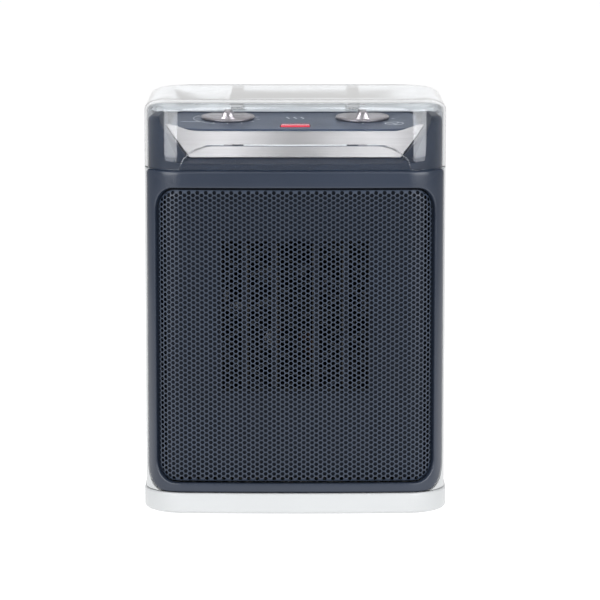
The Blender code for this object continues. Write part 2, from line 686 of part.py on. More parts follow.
def corrugated(x_low, x_high, y_low, y_high, z_low, z_high, folds, thick):
    """A folded aluminium strip between two heater bars."""
    rings = []
    for i in range(folds * 2 + 1):
        x = x_high - thick if i % 2 else x_low
        z = z_low + (z_high - z_low) * i / (folds * 2)
        rings.append([Vector((x, y_low, z)), Vector((x + thick, y_low, z)),
                      Vector((x + thick, y_high, z)), Vector((x, y_high, z))])
    return loft(rings)


def make_heater():
    add("air_duct", frame_box(0.0560, 0.0570, 0.0022, -0.0585, -0.0222), "black_plastic")
    add("heater_frame", frame_box(0.0534, 0.0544, 0.0036, -0.0540, -0.0360), "black_plastic")
    low, high = AXIS_Z - 0.0500, AXIS_Z + 0.0500
    bar_half = 0.0024
    bars = [-0.0343, -0.0141, 0.0141, 0.0343]
    for i, x in enumerate(bars, 1):
        add(f"ptc_bar_{i}", rounded_box((x - bar_half, -0.0530, low), (x + bar_half, -0.0370, high), 0.0008, 1),
            "ceramic")
    edges = [-0.0494, *[x + bar_half + GAP for x in bars]]
    ends = [x - bar_half - GAP for x in bars] + [0.0494]
    for i, (left, right) in enumerate(zip(edges, ends), 1):
        add(f"heater_fins_{i}", corrugated(left, right, -0.0520, -0.0380, low, high, 9, 0.0024), "aluminium")
    place = Matrix.Translation((0, -0.044, AXIS_Z + 0.0570 + GAP))
    add("thermal_cutout", lathe([(0, 0), (0.0085, 0), (0.0085, 0.003), (0.0070, 0.0035), (0.0070, 0.0095),
                                 (0, 0.0095)], 18, place), "black_plastic")


def blade_shape(index, count):
    """One swept fan blade, from inside the hub to the tip."""
    rings = []
    sweep = math.radians(34)
    for i in range(5):
        radius = 0.0145 + (FAN_RADIUS - 0.0145) * i / 4
        pitch = math.radians(42 - 4 * i)
        middle = 2 * math.pi * index / count + math.radians(3 * i)
        chord = 2 * radius * math.sin(sweep / 2) / math.cos(pitch) * 0.9
        ring = []
        for along, out in ((-0.5, -1), (0.0, -1), (0.5, -1), (0.5, 1), (0.0, 1), (-0.5, 1)):
            camber = 0.0014 * (1 - (2 * along) ** 2)
            across = along * chord * math.cos(pitch)
            back = -0.004 + along * min(chord * math.sin(pitch), 0.0165) + camber + out * 0.0006
            angle = middle + across / radius
            ring.append(Vector((radius * math.cos(angle), back, AXIS_Z + radius * math.sin(angle))))
        rings.append(ring)
    return loft(rings)


def make_fan():
    shroud = add("fan_shroud", box((-0.090, -0.0218, 0.044), (0.090, -0.0198, 0.226)), "black_plastic")
    boolean(shroud, cutter("shroud_collar", tube(SHROUD_BORE + 0.002, SHROUD_BORE - 0.004, -0.0210, 0.0080, 40,
                                                 along_y(0, AXIS_Z))), "UNION")
    boolean(shroud, cutter("cut_shroud_bore", cylinder(SHROUD_BORE, -0.05, 0.05, 40, along_y(0, AXIS_Z))))

    fan = add("fan_impeller", lathe([(0, -0.0150), (0.0120, -0.0150), (0.0155, -0.0120), (0.0160, 0.0060),
                                     (0, 0.0060)], 24, along_y(0, AXIS_Z)), "black_plastic")
    count = 7
    boolean(fan, cutter("fan_blades", merged(*[blade_shape(i, count) for i in range(count)])), "UNION")
    boolean(fan, cutter("cut_fan_bore", cylinder(SHAFT_RADIUS + 0.0003, -0.0120, 0.02, 14, along_y(0, AXIS_Z))))
    add("motor_shaft", cylinder(SHAFT_RADIUS, -0.0115, 0.0500, 14, along_y(0, AXIS_Z)), "steel")
    rotor = tube(0.0115, SHAFT_RADIUS + 0.0003, 0.0205, 0.0375, 20, along_y(0, AXIS_Z))
    add("motor_rotor", rotor, "steel")

    stator = add("motor_stator", box((-0.026, 0.0210, AXIS_Z - 0.036), (0.026, 0.0370, AXIS_Z + 0.022)), "steel")
    boolean(stator, cutter("cut_stator", merged(
        cylinder(0.0122, 0.0, 0.05, 20, along_y(0, AXIS_Z)),
        box((-0.016, 0.0, AXIS_Z - 0.0275), (0.016, 0.05, AXIS_Z - 0.0160)),
    )))
    coil = add("motor_coil", rounded_box((-0.0152, 0.0150, AXIS_Z - 0.0430), (0.0152, 0.0430, AXIS_Z - 0.0170),
                                         0.002, 1), "copper")
    boolean(coil, cutter("cut_coil", box((-0.03, 0.0206, AXIS_Z - 0.0364), (0.03, 0.0374, AXIS_Z - 0.0271))))

    bridge = add("motor_bracket_front", box((-0.0590, 0.0125, AXIS_Z - 0.007), (0.0590, 0.0145, AXIS_Z + 0.007)),
                 "steel")
    feet = [box((sx * 0.0560 - 0.0030, -0.0192, AXIS_Z - 0.007), (sx * 0.0560 + 0.0030, 0.0145, AXIS_Z + 0.007))
            for sx in (-1, 1)]
    boolean(bridge, cutter("bracket_feet", merged(*feet)), "UNION")
    boolean(bridge, cutter("cut_bracket_front", cylinder(0.0055 + GAP, 0.0, 0.03, 20, along_y(0, AXIS_Z))))
    back = add("motor_bracket_rear", box((-0.024, 0.0440, AXIS_Z - 0.007), (0.024, 0.0456, AXIS_Z + 0.007)), "steel")
    boolean(back, cutter("cut_bracket_rear", cylinder(0.0055 + GAP, 0.03, 0.06, 20, along_y(0, AXIS_Z))))
    for name, y in (("front", 0.0115), ("rear", 0.0430)):
        bush = tube(0.0055, SHAFT_RADIUS + PIN_CLEARANCE, y, y + 0.0045, 20, along_y(0, AXIS_Z))
        add(f"motor_bearing_{name}", bush, "copper")


# ---------------------------------------------------------------- tip-over switch and wiring
def coil_spring(radius, wire, low, high, turns, steps=10, sides=5):
    rings = []
    total = int(turns * steps)
    for i in range(total + 1):
        angle = 2 * math.pi * i / steps
        z = low + (high - low) * i / total
        centre = Vector((radius * math.cos(angle), radius * math.sin(angle), z))
        out = Vector((math.cos(angle), math.sin(angle), 0))
        ring = []
        for j in range(sides):
            a = 2 * math.pi * j / sides
            ring.append(centre + out * wire * math.cos(a) + Vector((0, 0, wire * math.sin(a))))
        rings.append(ring)
    return loft(rings)


def make_tip_switch():
    place = Matrix.Translation((PLUNGER_X, PLUNGER_Y, 0))
    add("tip_plunger", lathe([(0, 0.0002), (PLUNGER_RADIUS - 0.001, 0.0002), (PLUNGER_RADIUS, 0.0012),
                              (PLUNGER_RADIUS, 0.0100), (0.0062, 0.0100), (0.0062, 0.0114), (0.0022, 0.0114),
                              (0.0022, 0.0262), (0, 0.0262)], 18, place), "black_plastic")
    spring = coil_spring(0.0040, 0.0004, 0.0122, 0.0186, 4)
    spring.transform(place)
    add("plunger_spring", spring, "steel")
    body = add("tip_switch_body", box((PLUNGER_X - 0.010, PLUNGER_Y - 0.008, 0.0194),
                                      (PLUNGER_X + 0.030, PLUNGER_Y + 0.008, 0.0380)), "black_plastic")
    boolean(body, cutter("cut_switch_bore", cylinder(0.0028, 0.01, 0.03, 16, place)))
    boolean(body, cutter("cut_switch_room", box((PLUNGER_X - 0.0080, PLUNGER_Y - 0.0055, 0.0215),
                                                (PLUNGER_X + 0.0280, PLUNGER_Y + 0.05, 0.0360))))
    pivot = Vector((PLUNGER_X + 0.022, PLUNGER_Y, 0.0284))
    lever = box((pivot.x - 0.0250, pivot.y - 0.003, 0.0268), (pivot.x + 0.0020, pivot.y + 0.003, 0.0278))
    lever = add("tip_switch_lever", lever, "steel")
    hub = cylinder(0.0016, -0.003, 0.003, 12, Matrix.Translation(pivot) @ Matrix.Rotation(math.pi / 2, 4, "X"))
    boolean(lever, cutter("lever_hub", hub), "UNION")


def make_terminals():
    block = add("terminal_block", rounded_box((0.040, 0.030, 0.0068), (0.066, 0.048, 0.0200), 0.0012, 1),
                "white_plastic")
    ways = [cylinder(0.0022, 0.02, 0.06, 12, along_y(0.0455 + 0.0075 * i, 0.0125)) for i in range(3)]
    boolean(block, cutter("cut_terminal_ways", merged(*ways)))


def main():
    clear_scene()
    make_base()
    make_housing()
    make_rear()
    make_front()
    console = make_console()
    panel_frame = make_panel(console)
    make_controls(panel_frame)
    make_cover()
    make_heater()
    make_fan()
    make_tip_switch()
    make_terminals()


main()
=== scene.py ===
# %% [markdown]
# # A small ceramic fan heater
# The CAD model of the heater is already packed: every piece is in its place and every joint has its axis.
# This script dresses it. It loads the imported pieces, gives each one a proper finish, and swaps the plain
# outer mouldings, the coarse grille and the knobs for finely modelled ones that ride on the same bodies.
#
# Everything is in metres, with Z up and the front of the heater towards -Y.

import json
import math

import bmesh
import bpy
from mathutils import Matrix, Vector
from mathutils.geometry import delaunay_2d_cdt


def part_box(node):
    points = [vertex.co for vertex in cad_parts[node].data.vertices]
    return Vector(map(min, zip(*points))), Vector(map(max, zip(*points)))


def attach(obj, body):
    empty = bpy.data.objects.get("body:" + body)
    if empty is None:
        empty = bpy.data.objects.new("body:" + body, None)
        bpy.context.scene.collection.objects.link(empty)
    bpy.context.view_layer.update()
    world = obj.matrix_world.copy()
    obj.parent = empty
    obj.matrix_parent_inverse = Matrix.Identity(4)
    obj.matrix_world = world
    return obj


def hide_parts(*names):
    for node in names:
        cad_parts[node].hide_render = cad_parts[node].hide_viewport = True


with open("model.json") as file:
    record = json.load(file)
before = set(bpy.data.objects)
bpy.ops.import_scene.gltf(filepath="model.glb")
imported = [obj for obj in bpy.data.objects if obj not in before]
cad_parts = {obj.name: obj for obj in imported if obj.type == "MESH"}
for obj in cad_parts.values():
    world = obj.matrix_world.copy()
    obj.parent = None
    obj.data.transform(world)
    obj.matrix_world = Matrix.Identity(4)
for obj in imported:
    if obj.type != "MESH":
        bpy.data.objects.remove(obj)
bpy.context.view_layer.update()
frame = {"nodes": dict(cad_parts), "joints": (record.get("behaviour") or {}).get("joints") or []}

# %% [markdown]
# ## Driving sizes
# The fine pieces have to sit exactly where the plain ones are, so their sizes are read from the packed
# nodes' boxes. Only the few numbers that a box can't tell, such as corner radii, are written down here.

# %% Sizes read from the frame
def joint(name):
    """A joint's record in the frame."""
    return next(entry for entry in frame["joints"] if entry["name"] == name)


bezel_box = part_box("front_bezel")
base_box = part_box("base_tray")
shell_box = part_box("housing_shell")
cover_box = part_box("clear_cover")
window_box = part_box("heater_frame")

HALF_WIDTH = shell_box[1][0]
FRONT_Y, REAR_Y = bezel_box[0][1], shell_box[1][1]
BASE_OUTSET = base_box[1][0] - HALF_WIDTH
BEZEL_LOW, BEZEL_HIGH = bezel_box[0][2], bezel_box[1][2]
COVER_LOW, COVER_TOP = cover_box[0][2], cover_box[1][2]
AXIS_Z = (window_box[0][2] + window_box[1][2]) / 2

WALL = 0.0025
BOW_RADIUS = 1.5
FRONT_CORNER = 0.028
REAR_CORNER = 0.032
print(f"body {HALF_WIDTH * 2000:.0f} mm wide, {(REAR_Y - FRONT_Y) * 1000:.0f} mm deep")

# %% [markdown]
# ## The plan outline
# Seen from above, the body is a rectangle with round corners and a front that bows out by a hair.
# A point on that skin can be named by two numbers: how far round the front it is from the middle, and
# how high. `skin_point` turns them into a place in space, so the bezel, the grille and the cover can all
# be drawn flat and then wrapped round the same corners. It is the idea of unrolling a label from a jar.

# %% The skin of the body
BOW_ANGLE = math.asin((HALF_WIDTH - FRONT_CORNER) / (BOW_RADIUS - FRONT_CORNER))
CORNER_Y = FRONT_Y + BOW_RADIUS - (BOW_RADIUS - FRONT_CORNER) * math.cos(BOW_ANGLE)
BOW_LENGTH = BOW_RADIUS * BOW_ANGLE
CORNER_LENGTH = FRONT_CORNER * (math.pi / 2 - BOW_ANGLE)


def skin_point(s, inset, z):
    """The point s metres round the front from its middle, set in from the outer skin."""
    side = math.copysign(1, s)
    s = abs(s)
    if s <= BOW_LENGTH:
        angle = s / BOW_RADIUS
        middle, radius = Vector((0, FRONT_Y + BOW_RADIUS)), BOW_RADIUS
    else:
        angle = BOW_ANGLE + min(s - BOW_LENGTH, CORNER_LENGTH) / FRONT_CORNER
        middle, radius = Vector((HALF_WIDTH - FRONT_CORNER, CORNER_Y)), FRONT_CORNER
    x = middle.x + (radius - inset) * math.sin(angle)
    y = middle.y - (radius - inset) * math.cos(angle)
    y += max(0.0, s - BOW_LENGTH - CORNER_LENGTH)
    return Vector((side * x, y, z))


def plan(inset, y_end=None, steps=20):
    """The closed plan outline, set in by inset. With y_end it stops there with a straight back."""
    stops = [BOW_LENGTH * i / 5 for i in range(1, 5)]
    stops += [BOW_LENGTH + CORNER_LENGTH * i / steps for i in range(steps + 1)]
    right = [skin_point(s, inset, 0) for s in stops]
    if y_end is not None:
        rest = y_end - right[-1].y
        right += [Vector((HALF_WIDTH - inset, y_end - rest * (1 - i / 4), 0)) for i in range(1, 5)]
    else:
        middle = Vector((HALF_WIDTH - REAR_CORNER, REAR_Y - REAR_CORNER, 0))
        for i in range(steps + 1):
            angle = math.pi / 2 * i / steps
            right.append(middle + (REAR_CORNER - inset) * Vector((math.cos(angle), math.sin(angle), 0)))
    left = [Vector((-p.x, p.y, 0)) for p in reversed(right)]
    return [(p.x, p.y) for p in [skin_point(0, inset, 0), *right, *left]]


print(f"the side starts {BOW_LENGTH + CORNER_LENGTH:.3f} m round from the middle of the front")

# %% [markdown]
# ## Meshes from rings
# Nearly every moulded piece here is a loft: a row of rings with the same number of points, joined by
# quads. One helper makes it, and another turns the result into an object that rides on a body.
# Broad round edges are drawn in the rings themselves, so no modifier has to guess where they go. A Bevel
# modifier only takes the sharpness off the creases that the cuts leave.

# %% Loft, box, lathe and object helpers
def quarter(steps, first=0):
    """The angles of a quarter turn, in equal steps."""
    return [math.pi / 2 * i / steps for i in range(first, steps + 1)]


def loft(rings, closed=False):
    """Skins equal rings of points in order. Open lofts get end caps, closed ones join up."""
    shape = bmesh.new()
    loops = [[shape.verts.new(point) for point in ring] for ring in rings]
    for lower, upper in list(zip(loops, loops[1:])) + ([(loops[-1], loops[0])] if closed else []):
        for i in range(len(lower)):
            j = (i + 1) % len(lower)
            shape.faces.new((lower[i], lower[j], upper[j], upper[i]))
    if not closed:
        shape.faces.new(list(reversed(loops[0])))
        shape.faces.new(loops[-1])
    return shape


def plan_loft(levels, y_end=None):
    """Skins plan outlines given as (inset, z)."""
    return loft([[Vector((x, y, z)) for x, y in plan(inset, y_end)] for inset, z in levels])


def soft_top(inset, top, wide, deep, steps=10):
    """Levels of a broad soft edge, a quarter of an ellipse, from the side up on to the top."""
    return [(inset + wide * (1 - math.cos(a)), top - deep * (1 - math.sin(a))) for a in quarter(steps)]


def box(low, high, radius=0.0, segments=3):
    low, high = Vector(low), Vector(high)
    shape = bmesh.new()
    bmesh.ops.create_cube(shape, size=1, matrix=Matrix.Translation((low + high) / 2)
                          @ Matrix.Diagonal((*(high - low), 1)))
    if radius:
        bmesh.ops.bevel(shape, geom=shape.edges[:], offset=radius, segments=segments, affect="EDGES",
                        profile=0.5)
    return shape


def lathe(profile, steps=48, place=Matrix.Identity(4)):
    """Turns (radius, height) points round Z: solid if both ends are on the axis, else a ring."""
    solid = profile[0][0] == 0 and profile[-1][0] == 0
    turn = [2 * math.pi * i / steps for i in range(steps)]
    rings = [[Vector((r * math.cos(a), r * math.sin(a), z)) for a in turn]
             for r, z in (profile[1:-1] if solid else profile)]
    shape = loft(rings, closed=not solid)
    shape.transform(place)
    return shape


def plug(radius, low, high, place, steps=48):
    """A plain round pin along Z, which mostly serves as a cutter."""
    return lathe([(0, low), (radius, low), (radius, high), (0, high)], steps, place)


def joined(*shapes):
    whole = bmesh.new()
    for shape in shapes:
        mesh = bpy.data.meshes.new("joined")
        shape.to_mesh(mesh)
        shape.free()
        whole.from_mesh(mesh)
        bpy.data.meshes.remove(mesh)
    return whole


def piece(name, shape, finish=None, body="housing", stands_for=(), crease=35, place=None):
    """A bmesh becomes a finished object that rides on a body, in place of the CAD nodes it stands for."""
    bmesh.ops.recalc_face_normals(shape, faces=shape.faces)
    if place:
        shape.transform(place)
    mesh = bpy.data.meshes.new(name)
    shape.to_mesh(mesh)
    shape.free()
    mesh.shade_smooth()
    mesh.set_sharp_from_angle(angle=math.radians(crease))
    obj = bpy.data.objects.new(name, mesh)
    bpy.context.scene.collection.objects.link(obj)
    if finish:
        mesh.materials.append(finish)
        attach(obj, body)
        if stands_for:
            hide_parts(*stands_for)
        print(f"{name}: {len(mesh.polygons)} faces")
    return obj


def carve(obj, *tools, operation="DIFFERENCE", crease=35):
    """Cuts shapes out of an object, or joins them to it, and keeps the result as plain mesh."""
    for shape in tools:
        tool = piece("tool", shape)
        modifier = obj.modifiers.new("carve", "BOOLEAN")
        modifier.operation, modifier.solver, modifier.object = operation, "EXACT", tool
        bpy.context.view_layer.update()
        done = bpy.data.meshes.new_from_object(obj.evaluated_get(bpy.context.evaluated_depsgraph_get()))
        obj.modifiers.clear()
        old, obj.data = obj.data, done
        done.name = obj.name
        bpy.data.meshes.remove(old)
        bpy.data.objects.remove(tool)
    obj.data.shade_smooth()
    obj.data.set_sharp_from_angle(angle=math.radians(crease))
    return obj


def edge_round(obj, width, segments=3, angle=35):
    """Rounds what creases are left, as a mould's own small radius does."""
    modifier = obj.modifiers.new("mould radius", "BEVEL")
    modifier.width, modifier.segments, modifier.limit_method = width, segments, "ANGLE"
    modifier.angle_limit = math.radians(angle)
    modifier.harden_normals = True
    return obj


# %% [markdown]
# ## Shared surface effects
# Moulded plastic is never perfectly even. Three effects repeat in the materials below, so each is a
# shader node group that is built once and placed wherever it is wanted:
#
# * **mould texture** gives the fine orange-peel bump and a slow waviness in the gloss,
# * **brushed lines** stretches noise along one direction, as abrasive belts leave it on metal. Its bow
#   input leans the normal more and more towards both ends, as on a strip that is bent a little,
# * **handling marks** is a mask of faint dust and rub marks that lifts roughness and dulls colour.

# %% A small kit for shader nodes
class Nodes:
    """Adds nodes to a tree and links them, with less typing."""

    def __init__(self, tree):
        self.tree = tree

    def add(self, kind, **settings):
        node = self.tree.nodes.new(kind if kind.startswith("NodeGroup") else "ShaderNode" + kind)
        for key, value in settings.items():
            setattr(node, key, value)
        return node

    def link(self, source, socket):
        self.tree.links.new(source, socket)

    def feed(self, value, socket):
        """A socket takes either another node's output or a plain value."""
        if isinstance(value, bpy.types.NodeSocket):
            self.link(value, socket)
        else:
            socket.default_value = value

    def set(self, node, **values):
        for key, value in values.items():
            self.feed(value, node.inputs[key.replace("_", " ")])
        return node

    def math(self, operation, a, b=0.0, c=0.0):
        node = self.add("Math", operation=operation)
        for socket, value in zip(node.inputs, (a, b, c)):
            self.feed(value, socket)
        return node.outputs[0]

    def noise(self, coordinates, scale, detail=2.0, roughness=0.5):
        node = self.add("TexNoise")
        self.set(node, Vector=coordinates, Scale=scale, Detail=detail, Roughness=roughness)
        return node.outputs["Fac"]

    def stretched(self, coordinates, scale):
        node = self.add("Mapping")
        self.set(node, Vector=coordinates, Scale=scale)
        return node.outputs[0]

    def between(self, value, low, high, to_low=0.0, to_high=1.0):
        node = self.add("MapRange")
        self.set(node, Value=value, From_Min=low, From_Max=high, To_Min=to_low, To_Max=to_high)
        return node.outputs[0]

    def mix(self, factor, a, b):
        node = self.add("Mix", data_type="RGBA")
        for socket, value in zip((node.inputs[0], node.inputs[6], node.inputs[7]), (factor, a, b)):
            self.feed(value, socket)
        return node.outputs[2]


def shader_group(name, inputs, outputs):
    """An empty group with the named sockets. Returns its node kit, its inputs and its output node."""
    tree = bpy.data.node_groups.new(name, "ShaderNodeTree")
    for title, value in inputs.items():
        socket = tree.interface.new_socket(title, in_out="INPUT", socket_type="NodeSocketFloat")
        socket.default_value = value
    for title, kind in outputs.items():
        tree.interface.new_socket(title, in_out="OUTPUT", socket_type="NodeSocket" + kind)
    kit = Nodes(tree)
    return kit, kit.add("NodeGroupInput").outputs, kit.add("NodeGroupOutput").inputs


# %% Mould texture
kit, given, gives = shader_group(
    "mould texture", {"Grain Size": 900.0, "Grain Depth": 0.1, "Waviness": 0.1},
    {"Normal": "Vector", "Tone": "Float"})
place = kit.add("TexCoord").outputs["Object"]
fine = kit.noise(place, given["Grain Size"], 2.0)
slow = kit.noise(place, 14.0, 2.0)
height = kit.math("ADD", kit.math("MULTIPLY", fine, given["Grain Depth"]),
                  kit.math("MULTIPLY", slow, given["Waviness"]))
bump = kit.add("Bump")
kit.set(bump, Strength=0.35, Distance=0.001, Height=height)
kit.link(bump.outputs[0], gives["Normal"])
kit.link(slow, gives["Tone"])
MOULD_TEXTURE = kit.tree

# %% Brushed lines
kit, given, gives = shader_group(
    "brushed lines", {"Line Density": 1.0, "Line Depth": 0.5, "Bow": 0.0},
    {"Normal": "Vector", "Lines": "Float"})
place = kit.add("TexCoord").outputs["Object"]
along = kit.stretched(place, (14.0, 3000.0, 3000.0))
broad = kit.stretched(place, (5.0, 420.0, 420.0))
lines = kit.math("ADD", kit.math("MULTIPLY", kit.noise(along, given["Line Density"], 3.0), 0.65),
                 kit.math("MULTIPLY", kit.noise(broad, given["Line Density"], 2.0), 0.35))
across = kit.add("SeparateXYZ")
kit.link(place, across.inputs[0])
bow = kit.add("Bump")
kit.set(bow, Strength=1.0, Distance=1.0,
        Height=kit.math("MULTIPLY", kit.math("MULTIPLY", across.outputs[0], across.outputs[0]), given["Bow"]))
bump = kit.add("Bump")
kit.set(bump, Strength=given["Line Depth"], Distance=0.0002, Height=lines, Normal=bow.outputs[0])
kit.link(bump.outputs[0], gives["Normal"])
kit.link(lines, gives["Lines"])
BRUSHED_LINES = kit.tree

# %% Handling marks
kit, given, gives = shader_group(
    "handling marks", {"Amount": 0.3, "Dust": 0.1}, {"Rub": "Float", "Dust": "Float"})
place = kit.add("TexCoord").outputs["Object"]
patches = kit.between(kit.noise(place, 22.0, 4.0, 0.6), 0.48, 0.75)
streaks = kit.between(kit.noise(kit.stretched(place, (60.0, 60.0, 9.0)), 3.0, 3.0), 0.55, 0.8)
kit.link(kit.math("MULTIPLY", kit.math("MAXIMUM", patches, streaks), given["Amount"]), gives["Rub"])
up = kit.add("SeparateXYZ")
kit.link(kit.add("NewGeometry").outputs["Normal"], up.inputs[0])
settled = kit.math("MULTIPLY", kit.between(up.outputs[2], 0.35, 0.95),
                   kit.between(kit.noise(place, 260.0, 3.0), 0.4, 0.7))
kit.link(kit.math("MULTIPLY", settled, given["Dust"]), gives["Dust"])
HANDLING_MARKS = kit.tree
print("groups:", ", ".join(group.name for group in bpy.data.node_groups))

# %% [markdown]
# ## Finishes
# `moulded` makes any of the plastics: the base colour drifts a little with the mould texture's tone,
# the marks make it duller in places, and the Principled shader's own sockets hold everything that is
# constant. Metals take the brushed lines in both their roughness and their normal, and stretch their
# highlights across the lines with the Anisotropic socket.

# %% Plastics
def material(name):
    made = bpy.data.materials.new(name)
    made.use_nodes = True
    return made, Nodes(made.node_tree), made.node_tree.nodes["Principled BSDF"]


def placed(kit, tree, **values):
    node = kit.add("Group", node_tree=tree)
    return kit.set(node, **values).outputs


def moulded(name, colour, roughness, grain=0.1, size=900.0, wavy=0.1, drift=0.06, marks=0.25, dust=0.05,
            coat=0.0, ior=1.5):
    """A plastic: its colour drifts by a share, grain and wavy shape its skin, marks and dust dull it."""
    made, kit, shader = material(name)
    skin = placed(kit, MOULD_TEXTURE, Grain_Size=size, Grain_Depth=grain, Waviness=wavy)
    wear = placed(kit, HANDLING_MARKS, Amount=marks, Dust=dust)
    lighter = [min(1.0, c * (1 + drift)) for c in colour] + [1]
    darker = [c * (1 - drift) for c in colour] + [1]
    tone = kit.mix(kit.between(skin["Tone"], 0.3, 0.7), darker, lighter)
    dusty = kit.mix(wear["Dust"], tone, (0.55, 0.55, 0.54, 1))
    rough = kit.math("ADD", kit.math("MULTIPLY", wear["Rub"], 0.25), kit.math("ADD", wear["Dust"], roughness))
    kit.set(shader, Base_Color=dusty, Roughness=rough, Normal=skin["Normal"], Coat_Weight=coat, IOR=ior)
    shader.inputs["Coat Roughness"].default_value = 0.12
    return made


WHITE = moulded("white moulding", (0.50, 0.51, 0.512), 0.30, grain=0.12, drift=0.012, marks=0.2, dust=0.02)
NAVY = moulded("navy moulding", (0.018, 0.026, 0.044), 0.30, grain=0.16, drift=0.08, dust=0.01, coat=0.1)
NAVY_CONSOLE = moulded("navy console", (0.008, 0.014, 0.028), 0.42, marks=0.1, dust=0.0, ior=1.3)
BAFFLE = moulded("baffle moulding", (0.004, 0.007, 0.015), 0.5, grain=0.3, drift=0.08, dust=0.0, ior=1.35)
BLACK = moulded("black moulding", (0.016, 0.016, 0.018), 0.45, grain=0.3)
RUBBER = moulded("foot rubber", (0.02, 0.02, 0.02), 0.8, grain=0.6, size=500.0, dust=0.3)
CERAMIC = moulded("fired ceramic", (0.050, 0.046, 0.042), 0.6, grain=0.4)
FILTER = moulded("filter mesh", (0.05, 0.055, 0.06), 0.9, grain=0.8, size=1500.0, dust=0.4)
ENAMEL = moulded("coil enamel", (0.42, 0.15, 0.06), 0.35, grain=0.5, size=300.0)
GRILLE_PAINT = moulded("grille paint", (0.030, 0.042, 0.066), 0.38, grain=0.2, size=1400.0, drift=0.05,
                       marks=0.15, dust=0.01)


# %% Metals
def brushed(name, colour, roughness, density=1.0, depth=0.5, spread=0.12, metallic=1.0, bow=0.0, stretch=0.3):
    made, kit, shader = material(name)
    lines = placed(kit, BRUSHED_LINES, Line_Density=density, Line_Depth=depth, Bow=bow)
    wear = placed(kit, HANDLING_MARKS, Amount=0.2, Dust=0.02)
    tone = kit.between(lines["Lines"], 0.3, 0.7)
    darker, lighter = [c * 0.86 for c in colour] + [1], [min(1, c * 1.08) for c in colour] + [1]
    kit.set(shader, Base_Color=kit.mix(tone, darker, lighter),
            Roughness=kit.math("ADD", kit.between(lines["Lines"], 0.3, 0.7, roughness, roughness + spread),
                               kit.math("MULTIPLY", wear["Rub"], 0.2)),
            Metallic=metallic, Normal=lines["Normal"],
            Tangent=kit.add("Tangent", direction_type="RADIAL", axis="X").outputs[0])
    shader.inputs["Anisotropic"].default_value = stretch
    return made


TRIM_METAL = brushed("brushed trim", (0.60, 0.585, 0.59), 0.28, depth=0.16, spread=0.06, bow=-0.33, stretch=0.9)
KNOB_METAL = brushed("knob metal", (0.50, 0.46, 0.475), 0.24, depth=0.25, spread=0.08)
STEEL = brushed("zinc plate", (0.50, 0.51, 0.53), 0.34, density=0.4, depth=0.3)
ALUMINIUM = brushed("blackened fin strip", (0.020, 0.022, 0.026), 0.5, density=0.6, depth=0.3, metallic=0.3)
print("finishes:", len(bpy.data.materials))

# %% [markdown]
# ## Base
# The base is a shallow white tray that stands a millimetre or so proud of the body all round, like a
# plinth. It is a loft of plan outlines from the rounded underside, up over a soft top edge, and back
# down inside. The holes for feet, screws and the tip-over plunger are cut afterwards.

# %% Base tray
BASE_UNDER_ROUND = 0.0026
BASE_TOP_ROUND = 0.0011
BASE_FLOOR = 0.0045
BELOW, INSIDE = -0.01, 0.02
base_low, base_high = base_box[0][2], base_box[1][2]
base_levels = [(0.0012, base_low)]
base_levels += [(-BASE_OUTSET + BASE_UNDER_ROUND * (1 - math.sin(a)),
                 base_low + BASE_UNDER_ROUND * (1 - math.cos(a))) for a in quarter(5, 1)]
base_levels += soft_top(-BASE_OUTSET, base_high, BASE_TOP_ROUND, BASE_TOP_ROUND, 4)
base_levels += [(WALL - BASE_OUTSET, base_high), (WALL - BASE_OUTSET, base_low + BASE_FLOOR)]
base = piece("base", plan_loft(base_levels), WHITE, stands_for=["base_tray"])


def centre(node):
    low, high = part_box(node)
    return (Vector(low) + Vector(high)) / 2


def at(point):
    return Matrix.Translation((point[0], point[1], 0))


FEET = [node for node in frame["nodes"] if node.startswith("foot_")]
BASE_SCREWS = [node for node in frame["nodes"] if node.startswith("base_screw_")]
HEAD_POCKET, HEAD_DEPTH, SHANK_HOLE = 0.0038, 0.0034, 0.002
SCREW_HOLE = [(0, BELOW), (HEAD_POCKET, BELOW), (HEAD_POCKET, HEAD_DEPTH), (SHANK_HOLE, HEAD_DEPTH),
              (SHANK_HOLE, INSIDE), (0, INSIDE)]
for node in FEET:
    carve(base, plug(0.0084, BELOW, 0.0038, at(centre(node))))
for node in BASE_SCREWS:
    carve(base, lathe(SCREW_HOLE, 32, at(centre(node))))
carve(base, plug(0.0046, BELOW, INSIDE, at(centre("tip_plunger"))))

# %% [markdown]
# ## Feet and base screws
# Each foot is a rubber disc with a soft rim and two moulded rings that grip the table. The screws are
# pan heads with a cross recess, turned on a lathe and then cut with two thin slots.

# %% Feet and screws
for node in FEET:
    low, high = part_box(node)
    radius = (high[0] - low[0]) / 2
    profile = [(0, 0.0004), (0.0025, 0.0004), (0.0029, 0), (0.0041, 0), (0.0045, 0.0004), (0.0056, 0.0004),
               (0.0060, 0), (radius - 0.0006, 0), (radius, 0.0006), (radius, high[2]), (0, high[2])]
    piece(node.replace("foot", "rubber_foot"), lathe(profile, place=at(centre(node))), RUBBER,
          stands_for=[node])

for node in BASE_SCREWS:
    low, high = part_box(node)
    profile = [(0, low[2]), (0.0024, low[2]), (0.0033, low[2] + 0.0008), (0.0034, low[2] + 0.0019),
               (0.0015, low[2] + 0.0019), (0.0015, high[2] - 0.0012), (0, high[2])]
    screw = piece(node.replace("base_screw", "cross_screw"), lathe(profile, 32, at(centre(node))), STEEL,
                  stands_for=[node])
    middle = centre(node)
    for wide, deep in ((0.0016, 0.0003), (0.0003, 0.0016)):
        carve(screw, box((middle.x - wide, middle.y - deep, BELOW),
                         (middle.x + wide, middle.y + deep, low[2] + 0.0012)))

# %% [markdown]
# ## Housing
# The white shell is one moulding: two sides, the back, and a spine that rises to the full height behind
# the cover. It is a loft again. The console bay, the shelf that the cover lies on, the bezel's bay, the
# hinge slots and the rear openings are then cut away, in the order a toolmaker would add the cores.

